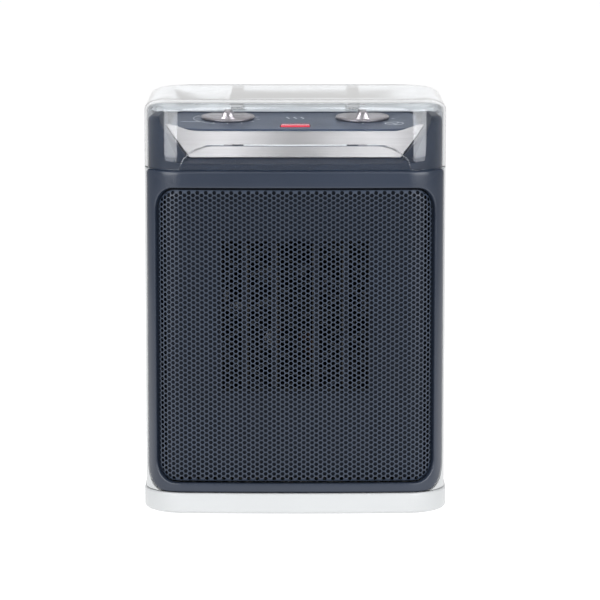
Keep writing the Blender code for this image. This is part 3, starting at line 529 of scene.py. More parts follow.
# %% Housing shell
FAR = 0.4
SHELF_Z = COVER_TOP - 0.008
SPINE_FRONT = 0.038
HINGE_Y, HINGE_Z = joint("cover_hinge")["pos_m"][1:]
ARM_X = centre("cover_pin_right").x
ARM_SLOT_HALF = 0.0046
SHELF_REAR = HINGE_Y - 0.002
TOP_EDGE_WIDE, TOP_EDGE_DEEP = 0.018, 0.0075
shell_levels = [(WALL, COVER_TOP - 0.012), (WALL, BEZEL_LOW), (0.0003, BEZEL_LOW), (0, BEZEL_LOW + 0.0003),
                *soft_top(0, COVER_TOP - 0.0003, TOP_EDGE_WIDE, TOP_EDGE_DEEP)]
shell = piece("housing", plan_loft(shell_levels), WHITE, stands_for=["housing_shell"])


def skin_band(limits, front, back, flare=0.0):
    """A solid band that follows the front skin, given as (s, low, high). Flare leans its top outwards."""
    return loft([[skin_point(s, front, low), skin_point(s, back, low), skin_point(s, back, high),
                  skin_point(s, front, high + flare)] for s, low, high in limits])


BEZEL_HALF = 0.1092
BEZEL_CORNER = 0.020
GAP = 0.0004


def both_sides(right):
    """Limits of a band on both sides, from those on the right, which start at the middle."""
    return [(-s, low, high) for s, low, high in reversed(right[1:])] + right


def bezel_limits(grow, high):
    half, low = BEZEL_HALF + grow, BEZEL_LOW - grow
    flat = [(BOW_LENGTH * i / 4, low, high) for i in range(5)]
    arc = [(half - BEZEL_CORNER * (1 - math.sin(a)), low + BEZEL_CORNER * (1 - math.cos(a)), high)
           for a in quarter(20)]
    flat += [(BOW_LENGTH + (arc[0][0] - BOW_LENGTH) * i / 5, low, high) for i in range(1, 5)]
    return both_sides(flat + arc)


def along_y(x, z):
    """Lays a shape that was turned round Z down along Y."""
    return Matrix.Translation((x, 0, z)) @ Matrix.Rotation(-math.pi / 2, 4, "X")


BACK_IN, BACK_OUT = 0.060, 0.09
body_top = BEZEL_HIGH + GAP
intake_low, intake_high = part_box("intake_grille")
inlet = centre("cord_inlet_bush")
cores = [
    box((-FAR, -FAR, body_top), (FAR, SPINE_FRONT, FAR)),
    box((-FAR, SPINE_FRONT - 0.001, SHELF_Z), (FAR, SHELF_REAR, FAR)),
    skin_band(bezel_limits(GAP, body_top + 0.01), -0.003, WALL + 0.004),
    box((intake_low[0] - GAP, BACK_IN, intake_low[2] - GAP),
        (intake_high[0] + GAP, BACK_OUT, intake_high[2] + GAP)),
    plug(0.0079, BACK_IN, BACK_OUT, along_y(inlet.x, inlet.z)),
]
for x in (-ARM_X, ARM_X):
    cores.append(box((x - ARM_SLOT_HALF, SPINE_FRONT - 0.002, SHELF_Z - 0.001),
                     (x + ARM_SLOT_HALF, HINGE_Y + 0.004, FAR)))
carve(shell, *cores)
edge_round(shell, 0.0004, 2)

# %% [markdown]
# ## Front bezel
# The bezel is a dark frame that wraps round both front corners. Its outline and the grille opening are
# both drawn flat as rounded rectangles with matching points, and a ring of skin is stretched between
# them. The rings at both edges follow a small arc, which gives the rolled lip that catches the light.

# %% Outlines and the bezel
GRILLE_GAP = 0.0016
OPENING_CORNER = 0.016
grille_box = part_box("front_grille")
OPENING_LOW, OPENING_HIGH = grille_box[0][2] - GRILLE_GAP, grille_box[1][2] + GRILLE_GAP
turned = math.asin((grille_box[1][0] - (HALF_WIDTH - FRONT_CORNER)) / (FRONT_CORNER - 0.0006))
OPENING_HALF = BOW_LENGTH + FRONT_CORNER * (turned - BOW_ANGLE) + GRILLE_GAP


def rounded_outline(half, low, high, low_corner, high_corner, around=10, up=14):
    """Rounded rectangle in (s, z), anticlockwise from the lower left, close-set where the skin turns."""
    def edge(end):
        turn = [BOW_LENGTH + (end - BOW_LENGTH) * i / 12 for i in range(13)]
        return [-s for s in reversed(turn)] + [BOW_LENGTH * i / 4 for i in range(-3, 4)] + turn[:-1]

    def corner(s, z, radius, start):
        return [(s + radius * math.cos(start + math.pi / 2 * i / around),
                 z + radius * math.sin(start + math.pi / 2 * i / around)) for i in range(around)]

    rise = high - high_corner - low - low_corner
    points = [(s, low) for s in edge(half - low_corner)]
    points += corner(half - low_corner, low + low_corner, low_corner, -math.pi / 2)
    points += [(half, low + low_corner + rise * i / up) for i in range(up)]
    points += corner(half - high_corner, high - high_corner, high_corner, 0)
    points += [(-s, high) for s in edge(half - high_corner)]
    points += corner(-half + high_corner, high - high_corner, high_corner, math.pi / 2)
    points += [(-half, high - high_corner - rise * i / up) for i in range(up)]
    points += corner(-half + low_corner, low + low_corner, low_corner, math.pi)
    return [Vector(p) for p in points]


def skin_frame(outer, inner, stations):
    """Rings between two outlines. A station is (share of the way in, extra distance in, inset)."""
    rings = []
    for share, extra, inset in stations:
        ring = []
        for a, b in zip(outer, inner):
            spot = a.lerp(b, share) + (b - a).normalized() * extra
            ring.append(skin_point(spot.x, inset, spot.y))
        rings.append(ring)
    return loft(rings, closed=True)


def lip(radius, share, inward, steps=5):
    """Stations round a rolled edge: from its side on to the face, or back again."""
    turn = quarter(steps) if inward > 0 else quarter(steps)[::-1]
    return [(share, inward * radius * (1 - math.cos(a)), radius * (1 - math.sin(a))) for a in turn]


opening = rounded_outline(OPENING_HALF, OPENING_LOW, OPENING_HIGH, OPENING_CORNER, OPENING_CORNER)
bezel_edge = rounded_outline(BEZEL_HALF, BEZEL_LOW, BEZEL_HIGH, BEZEL_CORNER, 0.002)
OUTER_LIP, INNER_LIP, RETURN_DEPTH = 0.0019, 0.0011, 0.0042
piece("bezel", skin_frame(bezel_edge, opening, [
    (0, 0, WALL), *lip(OUTER_LIP, 0, 1), (0.3, 0, 0), (0.6, 0, 0), *lip(INNER_LIP, 1, -1), (1, 0, RETURN_DEPTH),
    (1, -0.0010, RETURN_DEPTH), (1, -0.0013, WALL), (0.6, 0, WALL), (0.3, 0, WALL),
]), NAVY, stands_for=["front_bezel"], crease=50)

# %% [markdown]
# ## Honeycomb grille
# The real grille is a thin steel sheet punched with thousands of small hexagons and rolled round the
# corners. Cutting that many holes with Booleans would take minutes. Drawing the holes as loops and
# letting a Delaunay triangulation fill what is left between them takes a second or two, and wrapping
# the flat result on to the skin gives the rolled sides for free.

# %% Grille
HOLE_PITCH = 0.00332
HOLE_ACROSS = 0.00264
SHEET_FRONT, SHEET_BACK = 0.0006, 0.0014
CURL_DEPTH, CURL_WIDTH = 0.0018, 0.0045


def hexagon(s, z, across):
    radius = across / math.sqrt(3)
    turn = [math.pi / 3 * i for i in range(6)]
    return [Vector((s + radius * math.cos(a), z + radius * math.sin(a))) for a in turn]


def from_core(point):
    """How far a point lies outside the opening's core, and the nearest point of that core."""
    s, z = point
    core = Vector((max(-OPENING_HALF + OPENING_CORNER, min(OPENING_HALF - OPENING_CORNER, s)),
                   max(OPENING_LOW + OPENING_CORNER, min(OPENING_HIGH - OPENING_CORNER, z))))
    return (Vector(point) - core).length, core


def clipped(point, reach):
    """Pulls a hole's corner back inside the sheet's rim."""
    far, core = from_core(point)
    return core + (point - core) * reach / far if far > reach else point


def honeycomb(pitch, across, margin):
    """Hexagonal loops over the whole opening, those at the rim cut short by the margin."""
    middle = (OPENING_LOW + OPENING_HIGH) / 2
    column = pitch * math.sqrt(3) / 2
    columns, rows = int(OPENING_HALF / column) + 1, int((OPENING_HIGH - OPENING_LOW) / pitch / 2) + 1
    cells = [hexagon(i * column, middle + (j + 0.5 * (i % 2)) * pitch, across)
             for i in range(-columns, columns + 1) for j in range(-rows, rows + 1)]
    reach = OPENING_CORNER - margin
    inside = [cell for cell in cells if sum(from_core(corner)[0] < reach for corner in cell) > 2]
    return [[clipped(corner, reach) for corner in cell] for cell in inside]


def skin_sheet(outline, holes):
    """The sheet inside an outline, with a polygonal hole for each loop. Its rim curls inwards."""
    points = [Vector(p) for p in outline]
    loops = [list(range(len(points)))]
    for hole in holes:
        loops.append(list(range(len(points), len(points) + len(hole))))
        points += hole
    filled = delaunay_2d_cdt(points, [], loops, 2, 1e-7)
    flat, triangles = filled[0], filled[2]
    shape = bmesh.new()
    to_rim = [OPENING_CORNER - GRILLE_GAP - from_core(p)[0] for p in flat]
    sunk = [CURL_DEPTH * max(0, 1 - near / CURL_WIDTH) ** 2 for near in to_rim]
    layers = [[shape.verts.new(skin_point(p.x, inset + deep, p.y)) for p, deep in zip(flat, sunk)]
              for inset in (SHEET_FRONT, SHEET_BACK)]
    borders = {}
    for triangle in triangles:
        for layer in layers:
            shape.faces.new([layer[i] for i in triangle])
        for pair in zip(triangle, [*triangle[1:], triangle[0]]):
            borders.setdefault(frozenset(pair), []).append(pair)
    for uses in borders.values():
        if len(uses) == 1:
            a, b = uses[0]
            shape.faces.new((layers[0][a], layers[0][b], layers[1][b], layers[1][a]))
    return shape


grille_edge = rounded_outline(OPENING_HALF - GRILLE_GAP, OPENING_LOW + GRILLE_GAP, OPENING_HIGH - GRILLE_GAP,
                              OPENING_CORNER - GRILLE_GAP, OPENING_CORNER - GRILLE_GAP)
holes = honeycomb(HOLE_PITCH, HOLE_ACROSS, GRILLE_GAP + 0.0004)
piece("honeycomb_grille", skin_sheet(grille_edge, holes), GRILLE_PAINT, stands_for=["front_grille"],
      crease=30)
print(len(holes), "hexagonal holes")

# %% [markdown]
# ## Behind the grille
# A dark baffle closes the space round the heater and leaves a square outlet window with four upright
# ribs. Two thin rings moulded on the ribs guard the fan behind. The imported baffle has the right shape,
# so it stays and only gets its finish, and the rings are added on top.

# %% Guard rings
RING_WIRE = 0.0007
ring_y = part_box("outlet_baffle")[0][1] - 0.0006
for number, radius in enumerate((0.0525, 0.0350), 1):
    wire = [(radius + RING_WIRE * math.cos(a), ring_y + RING_WIRE * math.sin(a))
            for a in [2 * math.pi * i / 8 for i in range(8)]]
    piece(f"guard_ring_{number}", lathe(wire, 96, along_y(0, AXIS_Z)), BAFFLE)

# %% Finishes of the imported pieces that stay
KEPT = {
    BAFFLE: ["outlet_baffle"],
    BLACK: ["air_duct", "heater_frame", "fan_shroud", "fan_impeller", "cord_inlet_bush", "thermal_cutout",
            "thermostat_body", "selector_body", "tip_plunger", "tip_switch_body"],
    STEEL: ["cover_pin_left", "cover_pin_right", "motor_rotor", "motor_shaft", "motor_stator",
            "motor_bracket_front", "motor_bracket_rear", "plunger_spring", "tip_switch_lever"],
    ENAMEL: ["motor_coil", "motor_bearing_front", "motor_bearing_rear"],
    WHITE: ["intake_grille", "terminal_block"],
    FILTER: ["dust_filter"],
    CERAMIC: [node for node in frame["nodes"] if node.startswith("ptc_bar")],
    ALUMINIUM: [node for node in frame["nodes"] if node.startswith("heater_fins")],
}


def refinish(node, finish):
    materials = frame["nodes"][node].data.materials
    materials.clear()
    materials.append(finish)


for finish, nodes in KEPT.items():
    for node in nodes:
        refinish(node, finish)
for node in ("intake_grille", "cord_inlet_bush", "outlet_baffle", "tip_plunger"):
    edge_round(frame["nodes"][node], 0.0004, 2)
print("packed pieces refinished:", sum(len(nodes) for nodes in KEPT.values()))

# %% [markdown]
# ## Control console
# Under the clear cover the dark console is scooped out like a desk: two cheeks lean outwards, a narrow
# ledge runs along the front, a slope carries the brushed trim, and a gently tilted bed holds the panel.
# One solid is lofted for the scoop and cut by another that describes the floor's side view, and the
# result is taken out of a block with the body's own plan. Two simple tools make a shape that would be
# tiresome to draw face by face.

# %% Panel and trim planes
def tilted(point, angle):
    return Matrix.Translation(point) @ Matrix.Rotation(angle, 4, "X")


dial_axis = joint("thermostat_turn")["axis"]
PANEL_TILT = math.atan2(-dial_axis[1], dial_axis[2])
panel_low, panel_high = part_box("control_panel")
PANEL_THICK = 0.0016
PANEL_HALF = panel_high[0]
PANEL_DEPTH = (panel_high[1] - panel_low[1]) / math.cos(PANEL_TILT)
panel_front = Vector((0, panel_low[1], panel_low[2] + PANEL_THICK * math.cos(PANEL_TILT)))
trim_foot = Vector((0, panel_front.y - 0.016, body_top + 0.0077))
trim_run = (panel_front - trim_foot).length
TRIM_TILT = math.atan2(panel_front.z - trim_foot.z, panel_front.y - trim_foot.y)
on_panel, on_trim = tilted(panel_front, PANEL_TILT), tilted(trim_foot, TRIM_TILT)
print(f"panel tilts {math.degrees(PANEL_TILT):.1f} degrees, trim {math.degrees(TRIM_TILT):.0f} degrees")

# %% Console
CONSOLE_INSET = 0.0026
CONSOLE_ROUND = 0.004
LEDGE_Z = body_top + 0.0042
LEDGE_REAR = -0.0735
AHEAD = -0.09
console_low, console_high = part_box("control_console")
CHEEK_RISES = (-0.007, 0.011, 0.021, 0.031, 0.056)
CHEEK_FRONT = (0.082, 0.082, 0.086, 0.092, 0.099)
CHEEK_REAR = (0.064, 0.0745, 0.0830, 0.0902, 0.0968)


def cheek_at(z):
    """Half the scoop's width over the trim and the panel, at a height."""
    rise = z - body_top
    for low, high, a, b in zip(CHEEK_RISES, CHEEK_RISES[1:], CHEEK_REAR, CHEEK_REAR[1:]):
        if rise <= high:
            return a + (b - a) * (rise - low) / (high - low)
    return CHEEK_REAR[-1]


def scoop():
    """The air between the cheeks, from the wide front to the narrower bed of the panel."""
    stations = [(AHEAD, 0.0), (LEDGE_REAR, 0.0), (-0.068, 0.35), (-0.064, 0.8), (-0.060, 1.0),
                (panel_front.y + PANEL_DEPTH, 1.0)]
    rings = []
    for y, share in stations:
        share = share * share * (3 - 2 * share)
        right = [Vector((a + (b - a) * share, y, body_top + rise))
                 for a, b, rise in zip(CHEEK_FRONT, CHEEK_REAR, CHEEK_RISES)]
        rings.append(right + [Vector((-p.x, p.y, p.z)) for p in reversed(right)])
    return loft(rings)


def under_floor():
    """Everything under the console's floor: ledge, trim slope and panel bed, seen from the side."""
    trim_bed, panel_bed = 0.0012, PANEL_THICK + 0.0002
    beds = ((on_trim, 0, trim_bed), (on_trim, trim_run, trim_bed), (on_panel, 0.0008, panel_bed),
            (on_panel, PANEL_DEPTH + 0.001, panel_bed))
    line = [(AHEAD, LEDGE_Z), (LEDGE_REAR, LEDGE_Z)]
    line += [tuple((plane @ Vector((0, along, -depth))).yz) for plane, along, depth in beds]
    line += [(line[-1][0], FAR), (0.05, FAR), (0.05, 0.2), (AHEAD, 0.2)]
    return loft([[Vector((x, y, z)) for y, z in line] for x in (-0.12, 0.12)])


scoop_tool = carve(piece("scoop tool", scoop()), under_floor())
console_levels = [(CONSOLE_INSET, console_low[2]),
                  *soft_top(CONSOLE_INSET, console_high[2], CONSOLE_ROUND, CONSOLE_ROUND, 6)]
console = piece("console", plan_loft(console_levels, console_high[1]), NAVY_CONSOLE,
                stands_for=["control_console"])
tool = bmesh.new()
tool.from_mesh(scoop_tool.data)
bpy.data.objects.remove(scoop_tool)
carve(console, tool)

# %% Openings for the spindles and the lens
LENS_HALF, LENS_FRONT, LENS_REAR = 0.0104, 0.0085, 0.0185
SPINDLE_HOLE, HOLE_TOP = 0.0058, 0.01
DIALS = {name: Vector(joint(name + "_turn")["pos_m"]) for name in ("thermostat", "selector")}


def panel_openings(depth):
    """Cutters through whatever lies under the panel's face, down to a depth."""
    lens_well = box((-LENS_HALF, LENS_FRONT, -0.02), (LENS_HALF, LENS_REAR, HOLE_TOP))
    lens_well.transform(on_panel)
    wells = [plug(SPINDLE_HOLE, -depth, HOLE_TOP, tilted(place, PANEL_TILT)) for place in DIALS.values()]
    return [*wells, lens_well]


carve(console, *panel_openings(0.03))

# %% [markdown]
# ## Brushed trim
# A strip of brushed metal lies on the slope. Its foot has round corners, its sides follow the cheeks,
# and its top edge sweeps up at each end in an S. The outline is drawn flat in the strip's own plane,
# given a thickness and then tilted into place.

# %% Trim strip
SWEEP_FROM, SWEEP_UP = 0.0670, 0.0056
TRIM_FOOT, TRIM_CORNER, TRIM_GAP = 0.0003, 0.0042, 0.0006
trim_top = trim_run - 0.0018


def along_trim(v):
    """Half width that leaves a hair's gap to the cheek at distance v up the slope."""
    return cheek_at(trim_foot.z + v * math.sin(TRIM_TILT)) - TRIM_GAP


def ease(t):
    return (1 - math.cos(math.pi * min(max(t, 0), 1))) / 2


def mirrored(right):
    """A closed outline from its right half."""
    return right + [(-x, y) for x, y in reversed(right)]


right = [(along_trim(TRIM_CORNER) - (TRIM_CORNER + TRIM_GAP) * (1 - math.sin(a)),
          TRIM_FOOT + TRIM_CORNER * (1 - math.cos(a))) for a in quarter(8)]
side_low, side_high = TRIM_FOOT + TRIM_CORNER, trim_top + SWEEP_UP
for i in range(1, 11):
    v = side_low + (side_high - side_low) * i / 10
    right.append((along_trim(v), v))
tip = right[-1][0]
right += [(tip - (tip - SWEEP_FROM) * i / 16, trim_top + SWEEP_UP * ease(1 - i / 16)) for i in range(1, 17)]
trim_outline = mirrored(right)


def plate(outline, low, high):
    """A flat plate from an outline, between two heights."""
    shape = bmesh.new()
    top = shape.faces.new([shape.verts.new((x, y, high)) for x, y in outline])
    shape.normal_update()
    if top.normal.z < 0:
        top.normal_flip()
    pushed = bmesh.ops.extrude_face_region(shape, geom=[top])
    for vert in [v for v in pushed["geom"] if isinstance(v, bmesh.types.BMVert)]:
        vert.co.z = low
    return shape


TRIM_UNDER, TRIM_OVER = -0.0010, 0.0002


def sweep_backing(side):
    """The wedge of console behind one upswept end of the trim. Its back lines up with the panel's edge."""
    bed, foot = TRIM_UNDER - 0.0001, 0.006
    rings = []
    for i in range(17):
        x = SWEEP_FROM - 0.001 + (tip + 0.002 - SWEEP_FROM) * i / 16
        v = trim_top - 0.0006 + SWEEP_UP * ease((x - SWEEP_FROM) / (tip - SWEEP_FROM))
        edge = on_trim @ Vector((side * x, v, bed))
        rings.append([on_trim @ Vector((side * x, trim_top - foot, bed)), edge,
                      Vector((edge.x, edge.y, panel_front.z - foot)),
                      Vector((edge.x, panel_front.y - foot, panel_front.z - 2 * foot))])
    return loft(rings)


carve(console, sweep_backing(-1), sweep_backing(1), operation="UNION")
trim = piece("trim_strip", plate(trim_outline, TRIM_UNDER, TRIM_OVER), TRIM_METAL, stands_for=["console_trim"],
             place=on_trim)
edge_round(trim, 0.00035, 2)
edge_round(console, 0.0005, 2, 28)

# %% [markdown]
# ## Control panel
# The panel is a thin satin sheet, printed with pale marks. Its front corners curve back to clear the
# trim's sweeps. The marks are thin raised shapes, a few hundredths of a millimetre thick, as screen ink
# is, so they stay crisp however close the view: ticks round each knob, a fan ring, a level line and
# three heat waves.

# %% Panel sheet
PANEL_FILM = moulded("panel film", (0.026, 0.042, 0.078), 0.38, grain=0.25, size=1800.0, drift=0.03, marks=0.3)
INK = moulded("pale ink", (0.62, 0.64, 0.66), 0.5, grain=0.05)
FRONT_SWEEP, SWEEP_CLEAR, REAR_ROUND = 0.0040, 0.0005, 0.022
right = [(SWEEP_FROM - 0.002, 0.0)]
right += [(SWEEP_FROM + (PANEL_HALF - SWEEP_FROM) * i / 10, FRONT_SWEEP * ease(i / 10) + SWEEP_CLEAR)
          for i in range(1, 11)]
right.append((PANEL_HALF, PANEL_DEPTH - REAR_ROUND))
right += [(PANEL_HALF - REAR_ROUND * (1 - math.cos(a)), PANEL_DEPTH - REAR_ROUND * (1 - math.sin(a)))
          for a in quarter(10, 1)]
panel = piece("panel_sheet", plate(mirrored(right), -PANEL_THICK, 0), PANEL_FILM,
              stands_for=["control_panel"], place=on_panel)
*wells, lens_well = panel_openings(0.02)
carve(panel, lens_well, *wells)
edge_round(panel, 0.0003, 2)

# %% Strokes of ink
INK_LOW, INK_HIGH = 0.00002, 0.00009
HAIR, THIN, FIRM, BOLD = 0.0004, 0.0006, 0.0007, 0.0011


def stroke(points, width):
    """A thin line of ink of constant width along points on the panel."""
    points = [Vector(p) for p in points]
    rings = []
    for i, p in enumerate(points):
        ahead = (points[min(i + 1, len(points) - 1)] - points[max(i - 1, 0)]).normalized()
        out = Vector((-ahead.y, ahead.x)) * width / 2
        rings.append([Vector((*(p - out), INK_LOW)), Vector((*(p + out), INK_LOW)),
                      Vector((*(p + out), INK_HIGH)), Vector((*(p - out), INK_HIGH))])
    return loft(rings)


def arc(middle, radius, start, end, steps):
    """Points round a dial, with angles measured from its front."""
    turn = [start + (end - start) * i / steps for i in range(steps + 1)]
    return [(middle[0] + radius * math.sin(a), middle[1] - radius * math.cos(a)) for a in turn]


def ring_mark(middle, radius, width):
    turn = [2 * math.pi * i / 48 for i in range(48)]
    points = [(middle[0] + radius * math.cos(a), middle[1] + radius * math.sin(a)) for a in turn]
    return stroke([*points, (middle[0] + radius, middle[1] - 1e-6)], width)


# %% Printed marks
DIAL_TURN = math.radians(135)
TICK_FROM, TICK_TO, LONG_TICK_TO = 0.0200, 0.0222, 0.0228
FAN_RADIUS, BLADE, BLADE_TWIST = 0.0062, 0.0046, 0.9
WAVE_APART, WAVE_SWING, WAVE_FROM, WAVE_LENGTH = 0.0050, 0.0009, 0.0440, 0.0080
back_along = Vector((0, math.cos(PANEL_TILT), math.sin(PANEL_TILT)))
KNOB_BACK = (DIALS["selector"] - panel_front).dot(back_along)
KNOB_X = DIALS["selector"].x
marks = []
for x, first, ticks in ((-KNOB_X, -DIAL_TURN, 11), (KNOB_X, 0.0, 4)):
    middle = Vector((x, KNOB_BACK))
    for i in range(ticks):
        angle = first + (DIAL_TURN - first) * i / (ticks - 1)
        out = Vector((math.sin(angle), -math.cos(angle)))
        reach = TICK_TO if i % 5 else LONG_TICK_TO
        marks.append(stroke([middle + out * TICK_FROM, middle + out * reach], THIN))
marks.append(stroke(arc((-KNOB_X, KNOB_BACK), 0.0238, math.radians(-130), math.radians(-20), 24), HAIR))
fan_mark = Vector((0.0680, 0.0240))
marks.append(ring_mark(fan_mark, FAN_RADIUS, THIN))
for turn in [2 * math.pi * i / 3 for i in range(3)]:
    blade = [(turn + t * BLADE_TWIST, BLADE * t) for t in (0.2, 0.5, 0.8, 1.0)]
    marks.append(stroke([fan_mark + Vector((math.cos(a), math.sin(a))) * reach for a, reach in blade], BOLD))
for i in (-1, 0, 1):
    marks.append(stroke([(i * WAVE_APART + WAVE_SWING * math.sin(t * 2 * math.pi), WAVE_FROM + WAVE_LENGTH * t)
                         for t in [j / 12 for j in range(13)]], FIRM))
marks.append(stroke([(-0.0790, 0.0300), (-0.0655, 0.0300)], THIN))
piece("panel_marks", joined(*marks), INK, place=on_panel)

# %% [markdown]
# ## Pilot lens
# A red lens shows that the heater is on. It is a rounded block of red plastic over a small lamp. So small
# a piece needs no real glass: a glossy coat over a strong red, with a faint glow of its own that stands
# in for the lamp behind, reads as a lit lens and renders without noise.

# %% Lens
RED, kit, shader = material("pilot red")
skin = placed(kit, MOULD_TEXTURE, Grain_Size=700.0, Grain_Depth=0.3, Waviness=0.1)
kit.set(shader, Normal=skin["Normal"],
        Base_Color=kit.mix(skin["Tone"], (0.50, 0.010, 0.030, 1), (0.62, 0.025, 0.060, 1)),
        Emission_Color=kit.mix(skin["Tone"], (0.5, 0.01, 0.03, 1), (0.7, 0.03, 0.06, 1)))
shader.inputs["Roughness"].default_value = 0.18
shader.inputs["Emission Strength"].default_value = 0.12
shader.inputs["Coat Weight"].default_value = 0.5
lens = box((-LENS_HALF + GAP, LENS_FRONT + GAP, -0.004), (LENS_HALF - GAP, LENS_REAR - GAP, 0.0009), 0.0007)
piece("pilot_lens", lens, RED, stands_for=["indicator_lens"], place=on_panel)
refinish("indicator_lamp", RED)

# %% [markdown]
# ## Knobs
# Each knob is a thin metallised disc with a waisted grip bar across it, pointing to the front. The
# disc is turned on a lathe with a fine groove near its rim. The bar is a stack of rings, each a little
# smaller than the one below, with flared ends, and its top edge is rolled. Under it a short steel spindle
# reaches down into the switch, and a pale pointer is printed on the bar.

# %% Knob parts
knob_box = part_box("thermostat_knob")
KNOB_RADIUS = (knob_box[1][0] - knob_box[0][0]) / 2
GRIP_TOP = 0.0100


def knob_disc():
    """A thin disc with a groove just inside its rounded rim."""
    rim = KNOB_RADIUS
    return lathe([(0, 0.0004), (rim - 0.0005, 0.0004), (rim, 0.0009), (rim, 0.0015), (rim - 0.0005, 0.0020),
                  (rim - 0.0014, 0.0021), (rim - 0.0017, 0.0018), (rim - 0.0020, 0.0021), (rim * 0.6, 0.0025),
                  (0, 0.0027)], 96)


def grip_ring(reach, foot, z):
    """One level of the grip bar: wide at both ends, narrow at the waist, with round corners."""
    right = []
    for i in range(15):
        t = -1 + 2 * i / 14
        flare = foot * (0.70 + 0.30 * abs(t) ** 2.4)
        right.append(Vector((flare, reach * t * 0.93, z)))
    cap = [Vector((foot * 0.72, reach, z)), Vector((0, reach * 1.012, z)), Vector((-foot * 0.72, reach, z))]
    left = [Vector((-p.x, p.y, z)) for p in reversed(right)]
    return right + cap + left + [Vector((p.x, -p.y, z)) for p in reversed(cap)]


def grip_bar():
    """Levels of the bar as (reach to each end, half width at the ends, height)."""
    levels = [(0.0162, 0.0060, 0.0010), (0.0160, 0.0053, 0.0024), (0.0156, 0.0042, 0.0034),
              (0.0152, 0.0035, 0.0050), (0.0149, 0.0031, 0.0075), (0.0147, 0.0029, GRIP_TOP - 0.0010),
              (0.0144, 0.0026, GRIP_TOP - 0.0004), (0.0139, 0.0021, GRIP_TOP)]
    return loft([grip_ring(*level) for level in levels])


# %% Both knobs
SPINDLE_RADIUS = 0.0030
for name, place in DIALS.items():
    body = name + "_dial"
    spot = tilted(place, PANEL_TILT)
    knob = piece(f"{name}_cap", knob_disc(), KNOB_METAL, body, [f"{name}_knob"], 40, spot)
    bar = grip_bar()
    bar.transform(spot)
    carve(knob, bar, operation="UNION", crease=40)
    foot = (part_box(f"{name}_spindle")[0][2] - place.z) / math.cos(PANEL_TILT) + 0.0004
    spindle = lathe([(0, foot), (SPINDLE_RADIUS, foot), (SPINDLE_RADIUS, -0.0004), (0.0026, 0), (0, 0)], 32)
    piece(f"{name}_shaft", spindle, STEEL, body, [f"{name}_spindle"], place=spot)
    pointer = box((-0.0005, -0.0136, GRIP_TOP - 0.0002), (0.0005, -0.0070, GRIP_TOP + 0.00008), 0.00012, 2)
    piece(f"{name}_pointer", pointer, INK, body, place=spot)

# %% [markdown]
# ## Clear cover
# The splash cover is moulded in clear plastic with a soft front edge, a shallow finger recess low on
# its front, and two arms that run back to the hinge. It is a hollow loft, so light bends on the way in
# and on the way out as it does in a real wall. Where the wall is seen edge on, a Layer Weight node tints
# the colour grey-blue: a little of that is the thicker plastic in the line of sight, and most of it is
# painted shade that darkens the edge-on walls. Cycles would leave whatever is under the cover dark,
# because lamps can't shine through bent paths, so a Light Path mix lets their rays straight through.

# %% Clear plastic
CLEAR, kit, shader = material("clear plastic")
shader.inputs["Roughness"].default_value = 0.02
shader.inputs["IOR"].default_value = 1.47
shader.inputs["Transmission Weight"].default_value = 1.0
skin = placed(kit, MOULD_TEXTURE, Grain_Size=160.0, Grain_Depth=0.01, Waviness=0.05)
# painted shade: walls seen edge on are tinted a darker grey-blue, more than the thicker plastic alone would
# tint them
rim = kit.add("LayerWeight")
kit.set(rim, Blend=0.5)
edge_on_shade = kit.between(rim.outputs["Facing"], 0.55, 1.0)
kit.set(shader, Normal=skin["Normal"],
        Base_Color=kit.mix(edge_on_shade, (0.965, 0.975, 0.985, 1), (0.66, 0.69, 0.73, 1)))
through = kit.add("BsdfTransparent")
kit.set(through, Color=(0.93, 0.95, 0.97, 1))
mix = kit.add("MixShader")
kit.link(kit.add("LightPath").outputs["Is Shadow Ray"], mix.inputs[0])
kit.link(shader.outputs[0], mix.inputs[1])
kit.link(through.outputs[0], mix.inputs[2])
kit.link(mix.outputs[0], CLEAR.node_tree.nodes["Material Output"].inputs["Surface"])

# %% Cover
COVER_WALL = 0.0021
UNDER = 0.2
outer_levels = [(0.0003, COVER_LOW), (0, COVER_LOW + 0.0003),
                *soft_top(0, COVER_TOP, TOP_EDGE_WIDE, TOP_EDGE_DEEP)]
inner_levels = [(COVER_WALL, UNDER), *soft_top(COVER_WALL, COVER_TOP - COVER_WALL, 0.0160, 0.0058, 8)]
cover = piece("cover", plan_loft(outer_levels, SHELF_REAR - 0.002), CLEAR, "cover",
              ["clear_cover"])
carve(cover, plan_loft(inner_levels, REAR_Y),
      box((-FAR, SPINE_FRONT - 0.0025, UNDER), (FAR, FAR, SHELF_Z + 0.003)))

# %% Finger recess
ARCH_FLAT, ARCH_END, ARCH_RISE = 0.052, 0.0778, 0.0165
RECESS_DEPTH, RECESS_FLARE = 0.0012, 0.0038
arch = [(ARCH_FLAT * i / 4, ARCH_RISE) for i in range(4)]
arch += [(ARCH_FLAT + (ARCH_END - ARCH_FLAT) * math.sin(a), ARCH_RISE * math.cos(a)) for a in quarter(24)]
limits = both_sides([(s, body_top - 0.004, body_top + rise) for s, rise in arch])
carve(cover, skin_band(limits, -0.002, RECESS_DEPTH, RECESS_FLARE))

# %% Hinge arms and grip ridges
ARM_HALF, ARM_FRONT, ARM_EYE, PIN_HOLE = 0.0040, -0.044, 0.0031, 0.0013
RIDGE_HALF, RIDGE_LOW, RIDGE_HIGH = 0.0022, body_top + 0.0042, body_top + 0.0053
hinge_turn = Matrix.Translation((0, HINGE_Y, HINGE_Z)) @ Matrix.Rotation(math.pi / 2, 4, "Y")
added = []
for x in (-ARM_X, ARM_X):
    added.append(box((x - ARM_HALF, ARM_FRONT, COVER_TOP - 0.0051), (x + ARM_HALF, HINGE_Y, COVER_TOP - 0.0012),
                     0.0004, 2))
    added.append(plug(ARM_EYE, x - ARM_HALF, x + ARM_HALF, hinge_turn))
for s in (-0.0185, -0.0115, -0.0045, 0.0045, 0.0115, 0.0185):
    ends = [(s + end, RIDGE_LOW, RIDGE_HIGH) for end in (-RIDGE_HALF, RIDGE_HALF)]
    added.append(skin_band(ends, RECESS_DEPTH / 2, 0.0016))
